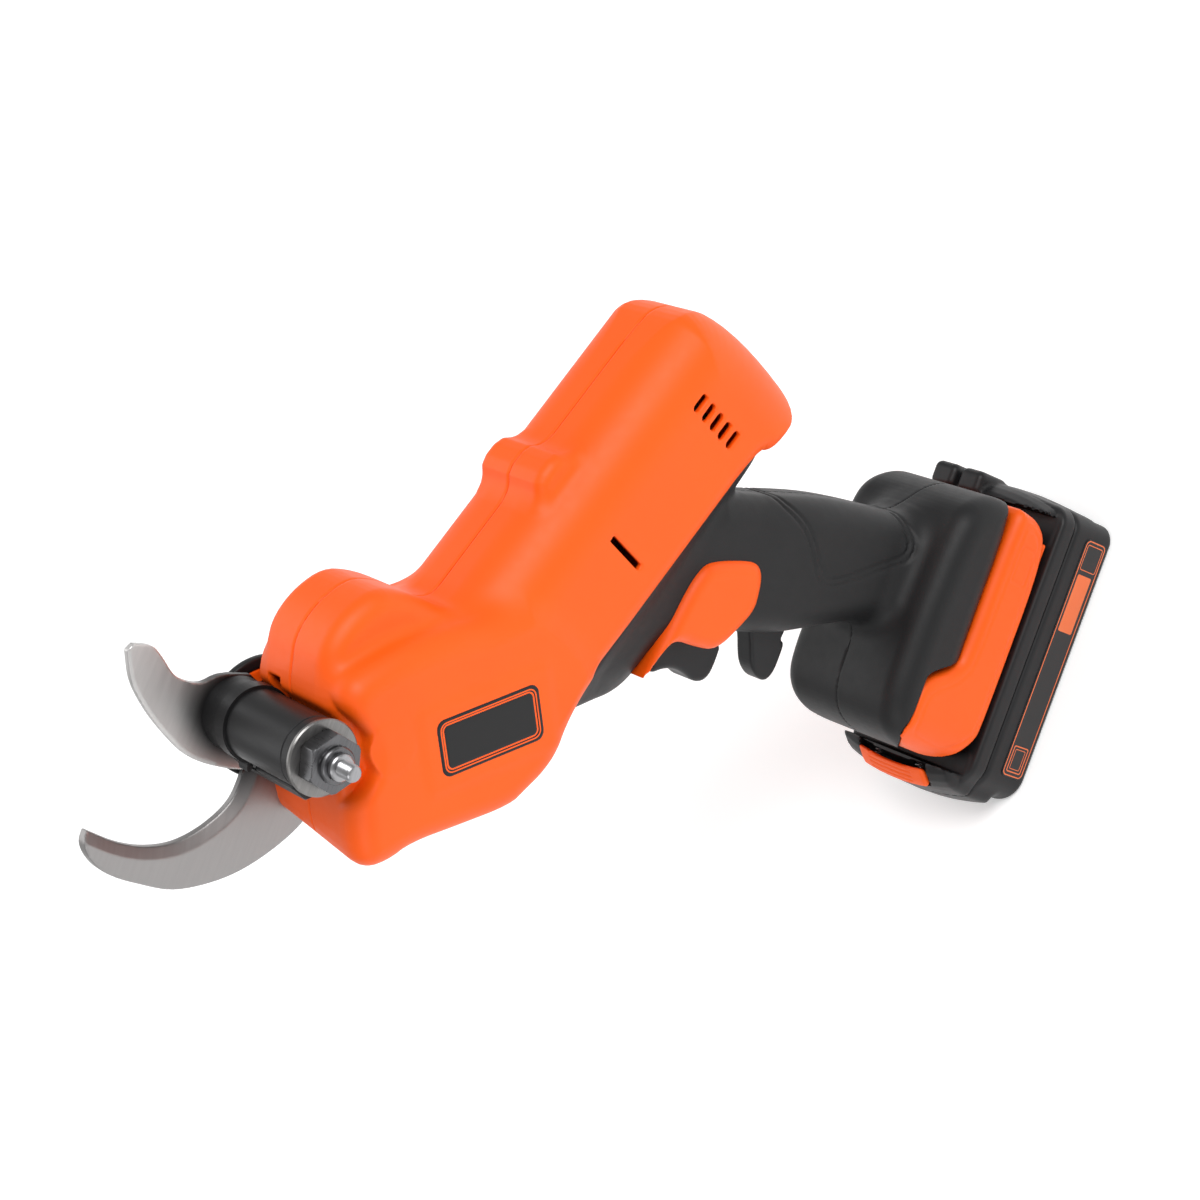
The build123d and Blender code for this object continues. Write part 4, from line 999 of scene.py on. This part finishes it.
sleeve_low, sleeve_high = node_box("pivot_sleeve")
far, near = sleeve_low[1], sleeve_high[1]
sleeve = turned("jaw_sleeve", [
    (far, 5.05), (far, 14.0), (far + 1.0, 14.0), (far + 3.0, 13.6), (far + 5.0, 13.5),
    (near - 5.2, 13.5), (near - 5.0, 13.2), (near - 4.4, 13.2), (near - 4.2, 13.5),
    (near - 0.8, 13.5), (near, 12.7), (near, 5.05),
])
dress(sleeve, "blade", "dark_hub", HUB, "pivot_sleeve")
washer_low, washer_high = node_box("pivot_washer")
washer = turned("jaw_washer", [
    (washer_low[1], 5.02), (washer_low[1], 13.9), (washer_low[1] + 0.4, 14.28),
    (washer_high[1] - 0.5, 14.28), (washer_high[1], 13.8), (washer_high[1], 5.02),
])
dress(washer, "housing", "fastener_steel", WASHER, "pivot_washer")
NUT_LOW, NUT_HIGH = [corner[1] for corner in node_box("pivot_nut")]
tip, head = bolt_high[1], bolt_low[1]
bolt_profile = [
    (head, 6.9), (head + 0.4, 7.4), (-33.5, 7.4), (-33.4, 4.98), (NUT_HIGH - 6, 4.98),
    (49.2, 4.98), (49.7, 4.5), (49.9, 3.25),
]
thread = 50.3
while thread < tip - 1.4:
    bolt_profile += [(thread, 3.25), (thread + 0.35, 2.95)]
    thread += 0.7
bolt_profile += [(tip - 1.0, 3.1), (tip - 0.5, 2.8), (tip - 0.15, 2.2), (tip, 1.2)]
bolt = turned("jaw_bolt", bolt_profile, segments=64, solid=True)
dress(bolt, "housing", "fastener_steel", BOLT, "pivot_bolt")


def nut_field(x, y, z):
    """The locking nut: a hexagon with both corners turned off, and its collar."""
    u, v = x - PIVOT_X, z - PIVOT_Z
    spin = math.radians(12)
    flats = np.full(np.broadcast(u, v).shape, -1e9)
    for index in range(3):
        angle = spin + math.pi / 3 * index
        flats = np.maximum(flats, np.abs(u * math.cos(angle) + v * math.sin(angle)) - 9.8)
    around = np.hypot(u, v)
    corners = (around - 11.0 + 0.55 * (np.abs(y - (NUT_LOW + 4.0)) - 3.4)) * 0.87
    hexagon = np.maximum(np.maximum(flats, np.abs(y - (NUT_LOW + 4.0)) - 4.0), corners)
    lip = np.maximum(around - 7.0, np.abs(y - NUT_HIGH + 1.6) - 1.6)
    lip = np.maximum(lip, (around - 7.0 + 0.8 * (y - NUT_HIGH + 0.8)) * 0.8)
    return np.maximum(np.minimum(hexagon, lip), 5.0 - around)


nut = moulded("jaw_nut", nut_field, (PIVOT_X - 12.5, NUT_LOW - 0.6, PIVOT_Z - 12.5),
              (PIVOT_X + 12.5, NUT_HIGH + 0.6, PIVOT_Z + 12.5), 0.3)
dress(nut, "housing", "fastener_steel", FASTENER, "pivot_nut")


def ring_field(x, y, z):
    """The black ring on the far side."""
    around = np.hypot(x - DISC_X, z - DISC_Z)
    middle = (disc_low[1] + disc_high[1]) / 2
    out, side = np.abs(around - 21.35) - 1.35, np.abs(y - middle) - 0.75
    ring = np.hypot(np.maximum(out, 0), np.maximum(side, 0)) - 1.0
    return np.maximum(ring, 8.0 - np.hypot(x - PIVOT_X, z - PIVOT_Z))


SHAFT_BEHIND, SHAFT_BELOW = 9.28, 26.95


def saddle_field(x, y, z):
    """The black saddle under the sleeve, rounded where it shows and slotted for the sector."""
    u, v = x - PIVOT_X, z - PIVOT_Z
    around = np.hypot(u, v)
    forward, upward = to_barrel(u, v)
    low_side = upward + 9.5
    band = rounded(np.maximum(np.maximum(around - 21.6, 14.2 - around), low_side), y + 2.0, 22.4, 1.5)
    band = np.maximum(band, forward - 13.0)
    teeth = np.maximum(around - 18.5, np.abs(y + 11.0) - 4.0)
    cross = np.hypot(u + SHAFT_BEHIND, v + SHAFT_BELOW)
    gears = np.maximum(cross - 14.5, np.maximum(y - 11.5, -17.0 - y))
    return np.maximum(np.maximum(band, -teeth), -gears)


saddle = moulded("jaw_saddle", saddle_field, (PIVOT_X - 23, -25, PIVOT_Z - 23),
                 (PIVOT_X + 23, 29, PIVOT_Z + 12), 0.7)
dress(saddle, "housing", "dark_hub", BLACK, "jaw_bracket")
ring = moulded("guard_ring_piece", ring_field, disc_low - 1, disc_high + 1, 0.6)
dress(ring, "housing", "dark_hub", BLACK, "guard_ring")
cap_low, cap_high = node_box("guard_cap")


def cap_field(x, y, z):
    """The orange cap in the ring, dished on its outside."""
    around = np.hypot(x - DISC_X, z - DISC_Z)
    dish = 0.9 * np.clip(1 - (around / 15) ** 2, 0, 1)
    disc = np.maximum(around - 18.95, np.maximum(cap_low[1] + dish - y, y - cap_high[1]))
    return np.maximum(disc, 8.0 - np.hypot(x - PIVOT_X, z - PIVOT_Z))


cap = moulded("guard_cap_piece", cap_field, cap_low - 1, cap_high + 1, 0.5)
dress(cap, "housing", "orange_cap", ORANGE_TRIM, "guard_cap")

HANDLE_SCREWS = [(-14, 118, 17.0), (-43, 70, 33.0), (44, 78, 31.0)]
BARREL_SCREWS = [(52, 242, 30.5), (120, 209, 30.5), (178, 205, 33.0), (200, 279, 33.0)]
screw_places = HANDLE_SCREWS + [
    (along * COS_TILT - over * SIN_TILT, along * SIN_TILT + over * COS_TILT, half)
    for along, over, half in BARREL_SCREWS
]
for count, (screw_x, screw_z, half) in enumerate(screw_places):
    screw = turned(f"closing_screw_{count + 1}", [
        (-half + 1.6, 1.2), (-half + 1.6, 2.6), (-half + 1.9, 3.0), (-half + 4.5, 3.0),
        (-half + 4.5, 1.5), (half - 7, 1.5), (half - 6, 0.7),
    ], (screw_x, screw_z), 32, True)
    dress(screw, "housing", "fastener_steel", FASTENER, "housing_screws")


# ---- finishes of the CAD nodes
FINISHES = {
    "orange_shell": ORANGE, "black_shell": RUBBER, "badge": BADGE, "blade_steel": BLADE, "dark_hub": HUB,
    "orange_cap": ORANGE_TRIM, "fastener_steel": FASTENER, "gear_steel": GEAR, "motor_steel": CAN,
    "motor_plastic": NYLON, "copper": COPPER, "magnet": MAGNET, "trigger_plastic": BLACK,
    "switch_plastic": NYLON, "spring_steel": SPRING, "board": BOARD, "capacitor": CAN_SLEEVE,
    "pack_plastic": PACK, "latch_plastic": ORANGE_TRIM, "label": LABEL, "cell_wrap": SLEEVE_BLUE,
    "holder_plastic": NYLON, "contact_metal": CONTACT,
}
for subpart in frame["record"]["subparts"]:
    data = frame["nodes"][subpart["node"]].data
    data.materials.clear()
    data.materials.append(FINISHES[subpart["material_slot"]])
for node in ("thrust_washer", "sector_gear", "lock_pin"):
    frame["nodes"][node].data.materials[0] = HUB


# ---- stage, lights and camera
def stage_floor():
    """A wide pale floor under the tool."""
    sheet = bmesh.new()
    bmesh.ops.create_grid(sheet, x_segments=8, y_segments=8, size=6.0)
    mesh = bpy.data.meshes.new("floor")
    sheet.to_mesh(mesh)
    sheet.free()
    floor = bpy.data.objects.new("floor", mesh)
    bpy.context.scene.collection.objects.link(floor)
    material, tree, shader = new_material("floor_paper")
    shade = noise(tree, 2.0)
    tint = ramp(tree, shade.outputs["Fac"], (0.97, 0.97, 0.97), (0.99, 0.99, 0.99))
    tree.links.new(tint.outputs["Color"], shader.inputs["Base Color"])
    shader.inputs["Roughness"].default_value = 0.9
    shader.inputs["Emission Color"].default_value = (1, 1, 1, 1)
    shader.inputs["Emission Strength"].default_value = 0.22
    mesh.materials.append(material)


stage_floor()


def area_light(name, place, target, size, power):
    """A square soft light aimed at a point."""
    light = bpy.data.lights.new(name, "AREA")
    light.size = size
    light.energy = power
    obj = bpy.data.objects.new(name, light)
    obj.location = place
    direction = Vector(target) - Vector(place)
    obj.rotation_euler = direction.to_track_quat("-Z", "Y").to_euler()
    bpy.context.scene.collection.objects.link(obj)


middle = (0.04, 0.0, 0.2)
area_light("key_light", (-0.7, 0.9, 1.5), middle, 0.9, 19)
area_light("side_light", (1.3, 1.1, 0.9), middle, 0.9, 6)
area_light("back_light", (0.2, -1.2, 1.2), middle, 1.4, 8)

world = bpy.data.worlds.new("studio")
world.use_nodes = True
backdrop = world.node_tree.nodes["Background"]
backdrop.inputs["Color"].default_value = (1, 1, 1, 1)
backdrop.inputs["Strength"].default_value = 0.5
bpy.context.scene.world = world
bpy.context.scene.view_settings.view_transform = "Standard"

camera_data = bpy.data.cameras.new("camera")
camera_data.sensor_width = 36.0
camera_data.lens = 87.0
camera = bpy.data.objects.new("camera", camera_data)
CAMERA_PLACE = (0.0226, 0.8560, 0.9424)
CAMERA_RIGHT = (-0.34465, 0.59952, -0.72235)
CAMERA_UP = (-0.93861, -0.23221, 0.25511)
CAMERA_BACK = (-0.01479, 0.76593, 0.64275)
turn = Matrix((CAMERA_RIGHT, CAMERA_UP, CAMERA_BACK)).transposed()
camera.matrix_world = Matrix.Translation(CAMERA_PLACE) @ turn.to_4x4()
bpy.context.scene.collection.objects.link(camera)
bpy.context.scene.camera = camera
